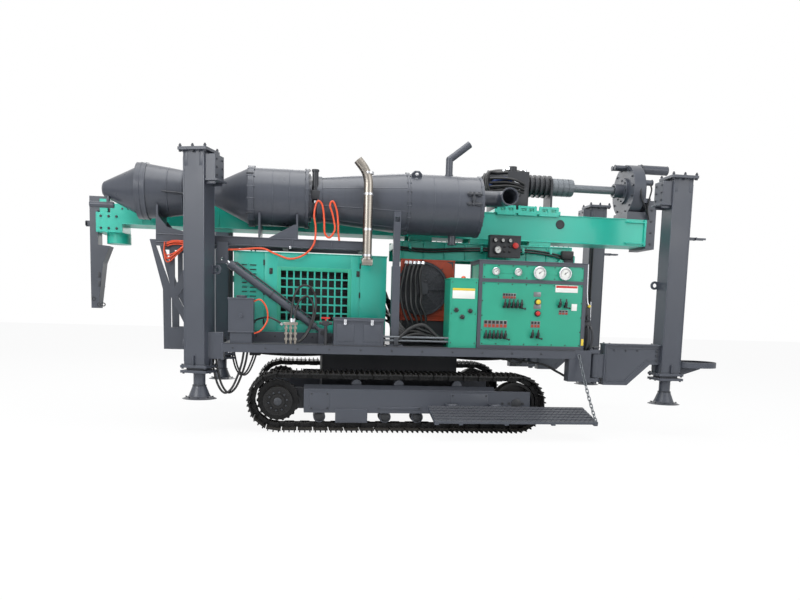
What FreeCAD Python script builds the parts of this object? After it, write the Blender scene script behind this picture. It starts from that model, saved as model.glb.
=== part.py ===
import FreeCAD, Part
import math
import os

# A crawler drilling rig for reverse circulation drilling, folded for the road, in millimetres.
# X runs along the machine from the mast's crown to its foot, Y from the control side to the far
# side, Z up from the ground. Sizes below are measured from the ground midway between the tracks,
# and the finished pieces are moved together so that the origin is the bottom centre of the whole.

os.makedirs("parts", exist_ok=True)
pieces_by_name = {}

# Driving sizes

PLATE = 12.0
SKIN = 5.0
SEAT_GAP = 0.5
PIN_GAP = 0.5
SLIDE_GAP = 6.0

# Tracks
TRACK_REAR_X = -1221.0
TRACK_FRONT_X = 1268.0
TRACK_OUTER_R = 310.0
SHOE_R = 290.0
LINK_R = 262.0
TRACK_INNER_R = 225.0
TRACK_WIDTH = 400.0
TRACK_Y = -930.0
SHOES = 43
AXLE_Z = TRACK_OUTER_R
# One shoe of the outline, as shares of its pitch and the radius there
SHOE_PROFILE = (
    (0.00, LINK_R), (0.03, SHOE_R), (0.12, SHOE_R), (0.17, TRACK_OUTER_R), (0.22, SHOE_R),
    (0.45, SHOE_R), (0.50, TRACK_OUTER_R), (0.55, SHOE_R), (0.78, SHOE_R),
    (0.83, TRACK_OUTER_R), (0.88, SHOE_R), (0.97, SHOE_R),
)

# Track side frames
BEAM_X = (-960.0, 1030.0)
BEAM_Y = (-1060.0, -770.0)
BEAM_Z = (195.0, 435.0)
BEAM_NOSE_X = 1418.0
BEVEL_TOP_Z = 480.0
ROLLER_R = 62.0
ROLLER_WIDTH = 150.0
ROLLERS = 6
ROLLER_X = (-800.0, 900.0)
CARRIER_R = 50.0
CARRIER_X = (-420.0, 20.0, 640.0)
SPROCKET_R = 205.0
SPROCKET_TEETH = 21
TOOTH_HEIGHT = 12.0
HUB_R = 147.0
IDLER_R = TRACK_INNER_R - SLIDE_GAP
IDLER_WIDTH = 140.0

# Deck
DECK_X = (-1754.0, 1860.0)
DECK_HALF_Y = 1140.0
DECK_Z = (800.0, 890.0)
RAIL = 60.0
DECK_PLATE = 6.0
TUB_X = (-760.0, 760.0)
TUB_HALF_Y = 380.0

# Hinges of the front legs' arms, and the arms' reach to their legs
HINGE_X = DECK_X[1] + 250.0
ARM_REACH = 809.0

# Jack legs
LEG_W = 215.0
LEG_WALL = 10.0
LEG_Y = -DECK_HALF_Y + 68.0
LEG_REAR_X = DECK_X[0] - 234.0
LEG_FRONT_X = HINGE_X + ARM_REACH
LEG_REAR_TURN = -20.0
LEG_FRONT_TURN = 0.0
LEG_TOP_Z = 2700.0
LEG_BOTTOM_Z = 640.0
LEG_CAP = 290.0
LEG_FLANGE = 270.0
PAD_R = 167.0
PAD_Z = 330.0
FOOT_W = LEG_W - 2 * LEG_WALL - 2 * SLIDE_GAP
FOOT_TOP_Z = 2250.0

# Swing arms of the front legs
ARM_KNEE = 112.0
ARM_HEEL = 358.5
ARM_LOW_Z = (531.0, 755.0)
HINGE_Z = (560.0, 900.0)
HINGE_R = 30.0
KNUCKLE_R = 60.0
ARM_Y = (-DECK_HALF_Y + 5.0, -DECK_HALF_Y + 135.0)
ARM_START_X = HINGE_X + 80.0
ARM_TOP_Z = 954.0
ARM_FLANGE = 16.0
ARM_FLANGE_OVER = 20.0

# Ring shelves on the front legs
SHELF_R = 225.0
SHELF_BAND = 55.0
SHELF_Z = 735.0

# Engine canopy
CANOPY_X = (-1680.0, -120.0)
CANOPY_Y = (-820.0, 600.0)
CANOPY_Z = (1000.0, 1805.0)
GRILLE_COLUMNS = 10
GRILLE_ROWS = 6
GRILLE_X = (-1208.0, -523.0)
GRILLE_Z = (1123.0, 1628.0)
GRILLE_BAR = 16.0
DOOR_X = (GRILLE_X[0] - 30.0, GRILLE_X[1] + 30.0)
DOOR_Z = (GRILLE_Z[0] - 30.0, GRILLE_Z[1] + 30.0)
# The pumps come out through the canopy's end, which is open there
PUMP_BAY_Y = (-640.0, 420.0)
PUMP_BAY_TOP_Z = 1625.0

# Engine block and its pumps, in stations of X and radius
ENGINE_X = (-1450.0, -500.0)
ENGINE_HALF_Y = 380.0
ENGINE_TOP_Z = 1620.0
PUMP_Y = -150.0
PUMP_Z = 1260.0
PUMP_STATIONS = ((0, 215), (55, 215), (55, 150), (90, 130), (260, 130), (260, 145), (285, 145), (285, 95), (440, 95))
PUMP_PORT = 45.0

# Exhaust
EXHAUST_X = -341.0
EXHAUST_Y = -950.0
EXHAUST_R = 48.0
EXHAUST_WALL = 4.0
EXHAUST_FOOT_Z = (1700.0, 1760.0)
EXHAUST_BEND_Z = 2650.0
EXHAUST_MOUTH = (-75.0, 115.0)

# Boxes and tanks on the deck
TOOL_BOX_X = (-673.0, -171.0)
TOOL_BOX_Y = (-1130.0, -925.0)
TOOL_BOX_TOP_Z = 1150.0
LID_OVER = 10.0
LID = 18.0
GREASE_X = (-1706.0, -1464.0)
GREASE_Z = (994.0, 1330.0)
GREASE_CAP_R = 45.0
OIL_TANK_X = (300.0, 1500.0)
OIL_TANK_Y = (700.0, 1100.0)
OIL_TANK_TOP_Z = 1500.0

# Cooler and its fan
COOLER_X = (90.0, 640.0)
COOLER_Y = (-560.0, -340.0)
COOLER_TOP_Z = 1790.0
FAN_X = 300.0
FAN_Z = 1500.0
FAN_R = 285.0
FAN_HUB_R = 70.0
BLADE_WIDTH = 28.0

# Rest post of the cyclone
POST_X = -46.0
POST_Y = -1000.0
POST_W = 82.0
POST_STEP_Z = 1700.0
POST_TOP_Z = 2243.0

# Control cabinets
CABINET_X = (804.0, 1960.0)
CABINET_Y = (-DECK_HALF_Y + 40.0, -700.0)
CABINET_Z = (890.0, 1790.0)
CABINET_MID_Z = 1572.0
CABINET_BAR = 36.0
SMALL_X = (509.0, 800.0)
SMALL_Y = (-DECK_HALF_Y + 50.0, -800.0)
SMALL_Z = (890.0, 1598.0)
PANEL_INSET = 8.0
GAUGE_Z = 1681.0
# Gauges: place along X, radius
GAUGES = ((975.0, 38.0), (1210.0, 38.0), (1440.0, 66.0), (1715.0, 66.0))
# Lever banks: count, X from and to, height
LEVER_COUNTS = (5, 6, 2, 2)
LEVER_BANKS = (
    (1060.0, 1280.0, 1350.0), (870.0, 1120.0, 1030.0), (1360.0, 1480.0, 1045.0), (1640.0, 1770.0, 1370.0),
)
LEVER_R = 7.0
LEVER_KNOB_R = 15.0
LEVER_REACH = 52.0
LEVER_RISE = 30.0

# Mast
PIVOT_X = 2060.0
PIVOT_Z = 1885.0
PIVOT_R = 40.0
SLIDE_X = (28.0, 2110.0)
SLIDE_HALF_Y = 235.0
SLIDE_Z = (1835.0, 2040.0)
MAST_X = (-2900.0, 3016.0)
MAST_HALF_Y = 200.0
MAST_Z = (2090.0, 2400.0)
CROWN_X = MAST_X[0] - 270.0
CROWN_Z = (2000.0, 2205.0)
STRING_Z = 2750.0
ROD_R = 45.0
ROD_END_X = MAST_X[1] - 6.0
SOCKET_R = 30.0
SOCKET_DEPTH = 90.0
CARRIAGE_X = (1170.0, 1950.0)
CARRIAGE_HALF_Y = 232.0
CARRIAGE_PLATE = 40.0
GUIDES_X = ((1201.0, 1417.0), (1448.0, 1666.0), (1697.0, 1929.0))
GUIDE_DROP = 20.0
GUIDE_RISE = 85.0
GUIDE_POCKET = 14.0
HEAD_X = (1330.0, 1580.0)
HEAD_HALF_Y = 160.0
HEAD_HEIGHT = 440.0
HEAD_TOP_Z = MAST_Z[1] + CARRIAGE_PLATE + HEAD_HEIGHT
MOTOR_R = 78.0
MOTOR_LENGTH = 210.0
MOTOR_Y = 85.0
SWIVEL_R = 72.0
HEAD_NECK_X = 1880.0
HEAD_NECK_R = 95.0
HEAD_DISC_R = 128.0
HEAD_DISCS = 5
HEAD_DISC = 24.0
BRACKET = 22.0
SLEEVE_X = (1894.0, 2156.0)
SLEEVE_R = 100.0
SLEEVE_RINGS = 4
CLAMP_R = 300.0
CLAMP_X = (MAST_X[1] - 216.0, MAST_X[1] - 76.0)
CLAMP_FOOT = 110.0
CLAMP_MOTOR_R = 52.0
CLAMP_MOTOR_END = 360.0
CLAMP_COLLAR_R = 78.0
JAW_Y = 250.0
JAW_Z = 2815.0
JAW_R = 32.0

# Jib at the crown
JIB_PIN = (CROWN_X + 60.0, 2310.0)
JIB_HALF_Y = 90.0

# Cyclone line, laid down on its own tilting frame
LINE_Y = -560.0
LINE_Z = 2390.0
TILT_X = -2150.0
TILT_Z = 870.0
TILT_PIN_R = 25.0
FRAME_X = (-2440.0, -330.0)
FRAME_Y = (-825.0, -295.0)
FRAME_Z = (1860.0, 1950.0)
FRAME_RAIL = 50.0
DRUM_R = 316.0
CATCH_R = 293.0
VESSEL_WALL = 8.0
STUB_X = 614.0
STUB_R = 41.0
STUB_Z = 1977.0
LUG_X = (125.0, 235.0)
LUG_TURN = 35.0
LUG_RISE = 62.0
SAMPLE_TUBE_X = (-3110.0, -2878.0)
SAMPLE_TUBE_Y = -640.0
SAMPLE_TUBE_Z = 2225.0
SAMPLE_TUBE_R = 30.0
# Trusses of the cyclone's frame, as places from its rear end and heights
TRUSS = ((-60.0, FRAME_Z[0] + 30.0), (64.0, 1400.0), (70.0, 800.0), (355.0, 800.0), (440.0, FRAME_Z[0] + 30.0))
TRUSS_WINDOWS = (
    ((0.0, FRAME_Z[0] - 30.0), (130.0, FRAME_Z[0] - 30.0), (130.0, 1450.0)),
    ((180.0, FRAME_Z[0] - 60.0), (360.0, FRAME_Z[0] - 60.0), (180.0, 1420.0)),
    ((140.0, 1330.0), (290.0, 1020.0), (140.0, 1020.0)),
    ((210.0, 1330.0), (360.0, 1560.0), (335.0, 1080.0)),
)
TRUSS_PLATE = 25.0
# Saddles under the vessels: place and top
SADDLES = ((-2440.0, 2230.0), (-1440.0, 2200.0), (-1060.0, 2200.0))
SADDLE = 20.0

# Cyclone cylinder
CYL_Y = -870.0
CYL_BASE = (-776.0, 1005.0)
CYL_EYE = (-1779.0, 1718.0)
CYL_R = 38.0
CYL_BORE = 30.0
CYL_ROD_R = 22.0
CYL_BARREL = 1155.0
CYL_EYE_WIDTH = 52.0
CYL_CLEVIS = 48.0

# Mast cylinder
LIFT_BASE = (300.0, 980.0)
LIFT_EYE = (1350.0, 1790.0)
LIFT_R = 58.0
LIFT_BORE = 48.0
LIFT_ROD_R = 36.0
LIFT_BARREL = 1210.0
LIFT_EYE_WIDTH = 80.0

# Both cylinders
PIN_R = 18.0
NECK = 95.0
PISTON = 20.0
GLAND = 14.0

# Step board
STEP_X = (300.0, 1960.0)
STEP_HINGE = (-1145.0, 290.0)
STEP_WIDTH = 450.0
STEP_SLOPE = 13.0
STEP_SLATS = 6
STEP_HINGES_X = (560.0, 1020.0)
STEP_EYE = 80.0
STEP_PIN_R = 10.0
STEP_START = 28.0


# Helpers

def vec(x, y, z):
    return FreeCAD.Vector(x, y, z)


def block(xs, ys, zs):
    """A box between two values on each axis."""
    return Part.makeBox(
        abs(xs[1] - xs[0]), abs(ys[1] - ys[0]), abs(zs[1] - zs[0]),
        vec(min(xs), min(ys), min(zs)),
    )


def rod(start, end, radius):
    """A round bar from one point to another."""
    line = vec(*end) - vec(*start)
    return Part.makeCylinder(radius, line.Length, vec(*start), line)


def tube(start, end, outer, inner):
    return rod(start, end, outer).cut(rod(start, end, inner))


def side_plate(points, ys):
    """A plate whose outline is drawn in X and Z, between two values of Y."""
    wire = Part.makePolygon([vec(x, min(ys), z) for x, z in points] + [vec(points[0][0], min(ys), points[0][1])])
    return Part.Face(wire).extrude(vec(0, abs(ys[1] - ys[0]), 0))


def floor_plate(points, zs):
    """A plate whose outline is drawn in X and Y, between two values of Z."""
    wire = Part.makePolygon([vec(x, y, min(zs)) for x, y in points] + [vec(points[0][0], points[0][1], min(zs))])
    return Part.Face(wire).extrude(vec(0, 0, abs(zs[1] - zs[0])))


def turned(profile, y, z):
    """A solid of revolution about a lengthwise line, from stations of X and radius."""
    outline = [(profile[0][0], 0.0)] + list(profile) + [(profile[-1][0], 0.0)]
    wire = Part.makePolygon([vec(px, y, z + r) for px, r in outline] + [vec(outline[0][0], y, z)])
    return Part.Face(wire).revolve(vec(0, y, z), vec(1, 0, 0), 360)


def join(shapes):
    whole = shapes[0].fuse(list(shapes[1:])) if len(shapes) > 1 else shapes[0]
    return whole.removeSplitter()


def cut(shape, tools):
    return shape.cut(Part.makeCompound(list(tools)))


def shell_box(xs, ys, zs, wall, open_bottom=True):
    inner_z = (zs[0] - wall if open_bottom else zs[0] + wall, zs[1] - wall)
    return block(xs, ys, zs).cut(block((xs[0] + wall, xs[1] - wall), (ys[0] + wall, ys[1] - wall), inner_z))


def far(shape):
    """The same piece on the far side of the machine."""
    return shape.mirror(vec(0, 0, 0), vec(0, 1, 0))


def turn_about(shape, x, y, degrees):
    copy = shape.copy()
    copy.rotate(vec(x, y, 0), vec(0, 0, 1), degrees)
    return copy


def keep(name, shape):
    """Holds a finished piece until all of them are moved to the origin and written."""
    if shape.ShapeType == "Compound" and len(shape.Solids) == 1:
        shape = shape.Solids[0]
    pieces_by_name[name] = shape


def keep_pair(name, shape):
    keep(name + "_near", shape)
    keep(name + "_far", far(shape))


def write_all():
    whole = Part.makeCompound(list(pieces_by_name.values())).BoundBox
    move = vec(-whole.Center.x, -whole.Center.y, -whole.ZMin)
    print("moved by", round(move.x, 3), round(move.y, 3), round(move.z, 3))
    for name, shape in pieces_by_name.items():
        print(name, "solids", len(shape.Solids), "closed and valid", shape.isValid())
        shape.translated(move).exportStep("parts/" + name + ".step")


# Tracks and what runs in them

def track_point(along, radius):
    """A point at a length along the track's loop and a radius from its axles."""
    straight = TRACK_FRONT_X - TRACK_REAR_X
    bend = math.pi * SHOE_R
    along = along % (2 * straight + 2 * bend)
    if along < straight:
        return TRACK_REAR_X + along, AXLE_Z + radius
    along -= straight
    if along < bend:
        angle = math.pi / 2 - along / SHOE_R
        return TRACK_FRONT_X + radius * math.cos(angle), AXLE_Z + radius * math.sin(angle)
    along -= bend
    if along < straight:
        return TRACK_FRONT_X - along, AXLE_Z - radius
    along -= straight
    angle = -math.pi / 2 - along / SHOE_R
    return TRACK_REAR_X + radius * math.cos(angle), AXLE_Z + radius * math.sin(angle)


def track():
    loop = 2 * (TRACK_FRONT_X - TRACK_REAR_X) + 2 * math.pi * SHOE_R
    pitch = loop / SHOES
    points = [
        track_point((shoe + share) * pitch, radius)
        for shoe in range(SHOES)
        for share, radius in SHOE_PROFILE
    ]
    ys = (TRACK_Y - TRACK_WIDTH / 2, TRACK_Y + TRACK_WIDTH / 2)
    belt = side_plate(points, ys)
    hole = join([
        rod((x, ys[0] - 1, AXLE_Z), (x, ys[1] + 1, AXLE_Z), TRACK_INNER_R)
        for x in (TRACK_REAR_X, TRACK_FRONT_X)
    ] + [block((TRACK_REAR_X, TRACK_FRONT_X), (ys[0] - 1, ys[1] + 1), (AXLE_Z - TRACK_INNER_R, AXLE_Z + TRACK_INNER_R))])
    return belt.cut(hole)


def track_frame():
    y0, y1 = BEAM_Y
    z0, z1 = BEAM_Z
    nose = 50.0
    pieces = [
        block(BEAM_X, BEAM_Y, BEAM_Z),
        block((BEAM_X[1], BEAM_NOSE_X), (y0, y0 + nose), BEAM_Z),
        block((BEAM_X[1], BEAM_NOSE_X), (y1 - nose - 30, y1), BEAM_Z),
        block((TRACK_REAR_X - 110, BEAM_X[0] + 60), (y1 - 30, y1), (z0 + 10, z1 - 10)),
    ]
    bevel = floor_plate([(BEAM_X[0], y0), (BEAM_NOSE_X, y0), (BEAM_NOSE_X, y0 + nose), (BEAM_X[0], y0 + nose)], (z1, z1 + 1))
    slope = Part.Face(Part.makePolygon([
        vec(BEAM_X[0], y0, z1), vec(BEAM_X[0], y0 + nose, z1), vec(BEAM_X[0], y0 + nose, BEVEL_TOP_Z), vec(BEAM_X[0], y0, z1),
    ])).extrude(vec(BEAM_X[1] - BEAM_X[0], 0, 0))
    pieces += [bevel, slope]
    roller_z = AXLE_Z - TRACK_INNER_R + SEAT_GAP + ROLLER_R
    step = (ROLLER_X[1] - ROLLER_X[0]) / (ROLLERS - 1)
    for i in range(ROLLERS):
        x = ROLLER_X[0] + i * step
        pieces.append(rod((x, TRACK_Y - ROLLER_WIDTH / 2, roller_z), (x, TRACK_Y + ROLLER_WIDTH / 2, roller_z), ROLLER_R))
    carrier_z = AXLE_Z + TRACK_INNER_R - SEAT_GAP - CARRIER_R
    for x in CARRIER_X:
        pieces.append(rod((x, TRACK_Y - 60, carrier_z), (x, TRACK_Y + 60, carrier_z), CARRIER_R))
        pieces.append(block((x - 25, x + 25), (TRACK_Y + 60, TRACK_Y + 80), (z1 - 5, carrier_z + 25)))
    pieces.append(block((-640, -310), (y0 - PLATE, y0), (95, z0 + 40)))
    hinge_y, hinge_z = STEP_HINGE
    for x in STEP_HINGES_X:
        for side in (-1, 1):
            edge = x + side * STEP_EYE / 2
            pieces.append(block((edge, edge + side * 15), (hinge_y - STEP_PIN_R - 4, y0), (hinge_z - STEP_PIN_R - 4, hinge_z + STEP_PIN_R + 4)))
        pieces.append(rod((x - STEP_EYE / 2, hinge_y, hinge_z), (x + STEP_EYE / 2, hinge_y, hinge_z), STEP_PIN_R))
    return join(pieces)


def toothed_disc(x, z, radius, height, teeth, ys):
    points = []
    for i in range(teeth):
        for share, r in ((0.0, radius), (0.3, radius), (0.45, radius + height), (0.7, radius + height), (0.85, radius)):
            angle = 2 * math.pi * (i + share) / teeth
            points.append((x + r * math.cos(angle), z + r * math.sin(angle)))
    return side_plate(points, ys)


def sprocket():
    face_y = BEAM_Y[0] - 20
    pieces = [
        toothed_disc(TRACK_REAR_X, AXLE_Z, SPROCKET_R, TOOTH_HEIGHT, SPROCKET_TEETH, (TRACK_Y - 35, TRACK_Y + 35)),
        rod((TRACK_REAR_X, face_y, AXLE_Z), (TRACK_REAR_X, TRACK_Y, AXLE_Z), HUB_R),
        rod((TRACK_REAR_X, face_y - 25, AXLE_Z), (TRACK_REAR_X, face_y, AXLE_Z), 70),
        rod((TRACK_REAR_X, TRACK_Y, AXLE_Z), (TRACK_REAR_X, BEAM_Y[1] - 30, AXLE_Z), 115),
    ]
    for i in range(12):
        angle = math.radians(30 * i)
        x = TRACK_REAR_X + 115 * math.cos(angle)
        z = AXLE_Z + 115 * math.sin(angle)
        pieces.append(rod((x, face_y - 10, z), (x, face_y, z), 10))
    return join(pieces)


def idler():
    width = IDLER_WIDTH / 2
    rim = tube((TRACK_FRONT_X, TRACK_Y - width, AXLE_Z), (TRACK_FRONT_X, TRACK_Y + width, AXLE_Z), IDLER_R, IDLER_R - 30)
    web = rod((TRACK_FRONT_X, TRACK_Y - 15, AXLE_Z), (TRACK_FRONT_X, TRACK_Y + 15, AXLE_Z), IDLER_R - 20)
    hub = rod((TRACK_FRONT_X, BEAM_Y[0] + 50, AXLE_Z), (TRACK_FRONT_X, BEAM_Y[1] - 80, AXLE_Z), 60)
    return join([rim, web, hub])


# Undercarriage and deck

def undercarriage():
    pieces = []
    for x in (-640.0, 440.0):
        pieces.append(block((x, x + 200), (BEAM_Y[1], -BEAM_Y[1]), (240, 420)))
    for side in (-1, 1):
        pieces.append(block(TUB_X, (side * TUB_HALF_Y, side * (TUB_HALF_Y - 20)), (300, DECK_Z[0])))
    for x in (TUB_X[0], -200.0, 180.0, TUB_X[1] - 20):
        pieces.append(block((x, x + 20), (-TUB_HALF_Y, TUB_HALF_Y), (300, DECK_Z[0])))
    pieces.append(block(TUB_X, (-TUB_HALF_Y, TUB_HALF_Y), (300, 312)))
    return join(pieces)


def hinge_post():
    """The post at the deck's front corner that carries a swing arm, with its pin."""
    arm_y = (ARM_Y[0] + ARM_Y[1]) / 2
    pieces = [
        block((DECK_X[1] - 60, HINGE_X - 70), ARM_Y, (HINGE_Z[0], DECK_Z[1])),
        rod((HINGE_X, arm_y, HINGE_Z[0] - 20), (HINGE_X, arm_y, HINGE_Z[1] + 20), HINGE_R),
    ]
    for z in (HINGE_Z[0], HINGE_Z[1] - 40):
        pieces.append(rod((HINGE_X, arm_y, z), (HINGE_X, arm_y, z + 40), KNUCKLE_R))
        pieces.append(block((HINGE_X - 80, HINGE_X), (arm_y - KNUCKLE_R, arm_y + KNUCKLE_R), (z, z + 40)))
    return join(pieces)


def deck():
    x0, x1 = DECK_X
    z0, z1 = DECK_Z
    half = DECK_HALF_Y
    pieces = [block(DECK_X, (-half, half), (z1 - DECK_PLATE, z1))]
    for side in (-1, 1):
        pieces.append(block(DECK_X, (side * half, side * (half - RAIL)), DECK_Z))
        pieces.append(block(DECK_X, (side * (TUB_HALF_Y - 60), side * TUB_HALF_Y), DECK_Z))
    for x in (x0, -1200.0, -620.0, -30.0, 560.0, 1180.0, x1 - RAIL):
        pieces.append(block((x, x + RAIL), (-half, half), DECK_Z))
    pieces += [hinge_post(), far(hinge_post()), canopy_base(), cyclone_stand(), lift_clevis()]
    for y in (FRAME_Y[0] + 35, FRAME_Y[1] - 55):
        lug = side_plate([(x0, z0), (x0, z1 + 30), (TILT_X, TILT_Z + 45), (TILT_X - 45, TILT_Z), (TILT_X, TILT_Z - 45)], (y, y + 20))
        pieces.append(lug)
    pieces.append(rod((TILT_X, FRAME_Y[0] + 2, TILT_Z), (TILT_X, FRAME_Y[1] - 2, TILT_Z), TILT_PIN_R))
    return join(pieces)


# Jack legs

def leg_housing(x, turn, bracket_side):
    """The outer tube of a jack leg with its cap, its top bracket and its lower flange."""
    half = LEG_W / 2
    inner = half - LEG_WALL
    y = LEG_Y
    pieces = [
        block((x - half, x + half), (y - half, y + half), (LEG_BOTTOM_Z, LEG_TOP_Z)),
        block((x - LEG_CAP / 2, x + LEG_CAP / 2), (y - LEG_CAP / 2, y + LEG_CAP / 2), (LEG_TOP_Z, LEG_TOP_Z + 28)),
        block((x - LEG_FLANGE / 2, x + LEG_FLANGE / 2), (y - LEG_FLANGE / 2, y + LEG_FLANGE / 2), (LEG_BOTTOM_Z, LEG_BOTTOM_Z + 25)),
    ]
    side = bracket_side
    pieces.append(block((x + side * half, x + side * (half + 105)), (y - 90, y + 95), (2440, 2670)))
    pieces.append(block((x + side * half, x + side * (half + 130)), (y - 95, y + 110), (2425, 2440)))
    pieces.append(rod((x + side * (half + 45), y + half - 40, 1600), (x + side * (half + 45), y + half - 25, 1600), 45))
    pieces.append(block((x + side * half, x + side * (half + 45)), (y + half - 40, y + half - 25), (1560, 1640)))
    for i in (-1, 0, 1):
        for j in (-1, 1):
            reach = LEG_CAP / 2 - 18
            pieces.append(rod((x + i * reach, y + j * reach, LEG_TOP_Z + 28), (x + i * reach, y + j * reach, LEG_TOP_Z + 42), 13))
    outer = join(pieces)
    guide = FOOT_W / 2 + SEAT_GAP
    bore = block((x - inner, x + inner), (y - inner, y + inner), (LEG_BOTTOM_Z + 60, LEG_TOP_Z))
    mouth = block((x - guide, x + guide), (y - guide, y + guide), (LEG_BOTTOM_Z - 1, LEG_BOTTOM_Z + 61))
    eye = rod((x + side * (half + 45), y + half - 60, 1600), (x + side * (half + 45), y + half, 1600), 22)
    return turn_about(cut(outer, [bore, mouth, eye]), x, y, turn)


def rear_leg():
    """A rear leg's housing with the plate that bolts it to the deck's end."""
    housing = leg_housing(LEG_REAR_X, LEG_REAR_TURN, 1)
    mount = block((LEG_REAR_X, DECK_X[0]), (LEG_Y - 60, LEG_Y + 60), (730, 990))
    flange = block((DECK_X[0] - 20, DECK_X[0]), (LEG_Y - 66, LEG_Y + 100), (720, 885))
    tube_space = turn_about(block(
        (LEG_REAR_X - LEG_W / 2 + 1, LEG_REAR_X + LEG_W / 2 - 1),
        (LEG_Y - LEG_W / 2 + 1, LEG_Y + LEG_W / 2 - 1), (0, 3000)), LEG_REAR_X, LEG_Y, LEG_REAR_TURN)
    return join([housing, join([mount, flange]).cut(tube_space).Solids[-1]])


def shelf(x):
    """The round shelf band behind a front leg, with its bracket."""
    ring_x = x + LEG_W / 2 + SHELF_R - 12
    band = tube((ring_x, LEG_Y, SHELF_Z), (ring_x, LEG_Y, SHELF_Z + SHELF_BAND), SHELF_R, SHELF_R - 8)
    floor_ = rod((ring_x, LEG_Y, SHELF_Z), (ring_x, LEG_Y, SHELF_Z + 6), SHELF_R)
    bracket = side_plate([
        (x + LEG_W / 2, SHELF_Z - 110), (ring_x + 60, SHELF_Z - 20), (ring_x + 60, SHELF_Z), (x + LEG_W / 2, SHELF_Z),
    ], (LEG_Y - 30, LEG_Y + 30))
    fork = block((x + LEG_W / 2, x + LEG_W / 2 + 130), (LEG_Y - 12, LEG_Y + 12), (2085, 2115))
    prongs = [
        block((x + LEG_W / 2 + 120, x + LEG_W / 2 + 230), (LEG_Y - 30, LEG_Y - 20), (2090, 2110)),
        block((x + LEG_W / 2 + 120, x + LEG_W / 2 + 230), (LEG_Y + 20, LEG_Y + 30), (2090, 2110)),
        block((x + LEG_W / 2 + 120, x + LEG_W / 2 + 130), (LEG_Y - 30, LEG_Y + 30), (2085, 2115)),
    ]
    tube_space = block((x - LEG_W / 2, x + LEG_W / 2), (LEG_Y - 110, LEG_Y + 110), (0, 3000))
    return join([band, floor_, bracket]).cut(tube_space), join([fork] + prongs)


def front_leg():
    band, fork = shelf(LEG_FRONT_X)
    return join([leg_housing(LEG_FRONT_X, LEG_FRONT_TURN, -1), band, fork])


def swing_arm():
    arm_y = (ARM_Y[0] + ARM_Y[1]) / 2
    end = LEG_FRONT_X - LEG_W / 2
    heel_z, knee_z = ARM_LOW_Z
    web = side_plate([
        (ARM_START_X, ARM_TOP_Z), (end, ARM_TOP_Z), (end, knee_z), (end - ARM_KNEE, knee_z),
        (end - ARM_HEEL, heel_z), (ARM_START_X, heel_z),
    ], ARM_Y)
    flange = block(
        (ARM_START_X, end), (ARM_Y[0] - ARM_FLANGE_OVER, ARM_Y[1] + ARM_FLANGE_OVER),
        (ARM_TOP_Z, ARM_TOP_Z + ARM_FLANGE),
    )
    low = HINGE_Z[0] + 40 + SLIDE_GAP
    high = HINGE_Z[1] - 40 - SLIDE_GAP
    barrel = rod((HINGE_X, arm_y, low), (HINGE_X, arm_y, high), 55)
    link = block((HINGE_X, ARM_START_X + 10), (arm_y - 50, arm_y + 50), (low, high))
    bore = rod((HINGE_X, arm_y, low - 1), (HINGE_X, arm_y, high + 1), HINGE_R + PIN_GAP)
    return join([web, flange, barrel, link]).cut(bore)


def jack(x, turn):
    """The inner leg with its flange, neck, bell and pad."""
    half = FOOT_W / 2
    y = LEG_Y
    wear = LEG_W / 2 - LEG_WALL - SEAT_GAP
    pieces = [
        block((x - half, x + half), (y - half, y + half), (LEG_BOTTOM_Z - 50, FOOT_TOP_Z)),
        block((x - wear, x + wear), (y - wear, y + wear), (FOOT_TOP_Z - 60, FOOT_TOP_Z)),
        block((x - LEG_FLANGE / 2, x + LEG_FLANGE / 2), (y - LEG_FLANGE / 2, y + LEG_FLANGE / 2),
              (LEG_BOTTOM_Z - 50, LEG_BOTTOM_Z - 25)),
        rod((x, y, 460), (x, y, LEG_BOTTOM_Z - 50), 58),
        Part.makeCone(105, 62, 110, vec(x, y, PAD_Z + 25)),
        Part.makeCone(PAD_R, 105, 25, vec(x, y, PAD_Z)),
    ]
    return turn_about(join(pieces), x, y, turn)


# Engine side

def canopy():
    """The engine's cover, open below, with the openings of its louvred door and its pump bay."""
    x1 = CANOPY_X[1]
    y0 = CANOPY_Y[0]
    shell = shell_box(CANOPY_X, CANOPY_Y, CANOPY_Z, SKIN)
    door = block(DOOR_X, (y0 - 1, y0 + SKIN + 1), DOOR_Z)
    pump_bay = block((x1 - SKIN - 1, x1 + 1), PUMP_BAY_Y, (CANOPY_Z[0] - 1, PUMP_BAY_TOP_Z))
    return cut(shell, [door, pump_bay])


def canopy_grille():
    """The louvred door, a plate with rows of square holes."""
    y0 = CANOPY_Y[0]
    gap = SEAT_GAP
    door = block((DOOR_X[0] + gap, DOOR_X[1] - gap), (y0, y0 + SKIN), (DOOR_Z[0] + gap, DOOR_Z[1] - gap))
    holes = []
    wide = (GRILLE_X[1] - GRILLE_X[0] - (GRILLE_COLUMNS - 1) * GRILLE_BAR) / GRILLE_COLUMNS
    high = (GRILLE_Z[1] - GRILLE_Z[0] - (GRILLE_ROWS - 1) * GRILLE_BAR) / GRILLE_ROWS
    for i in range(GRILLE_COLUMNS):
        for j in range(GRILLE_ROWS):
            x = GRILLE_X[0] + i * (wide + GRILLE_BAR)
            z = GRILLE_Z[0] + j * (high + GRILLE_BAR)
            holes.append(block((x, x + wide), (y0 - 1, y0 + SKIN + 1), (z, z + high)))
    return cut(door, holes)


def canopy_base():
    x0, x1 = CANOPY_X
    y0, y1 = CANOPY_Y
    outer = block((x0, x1), (y0, y1), (DECK_Z[1], CANOPY_Z[0]))
    inner = block((x0 + 60, x1 - 60), (y0 + 60, y1 - 60), (DECK_Z[1] - 1, CANOPY_Z[0] + 1))
    return outer.cut(inner)


def engine():
    return block(ENGINE_X, (-ENGINE_HALF_Y, ENGINE_HALF_Y), (DECK_Z[1], ENGINE_TOP_Z))


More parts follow.
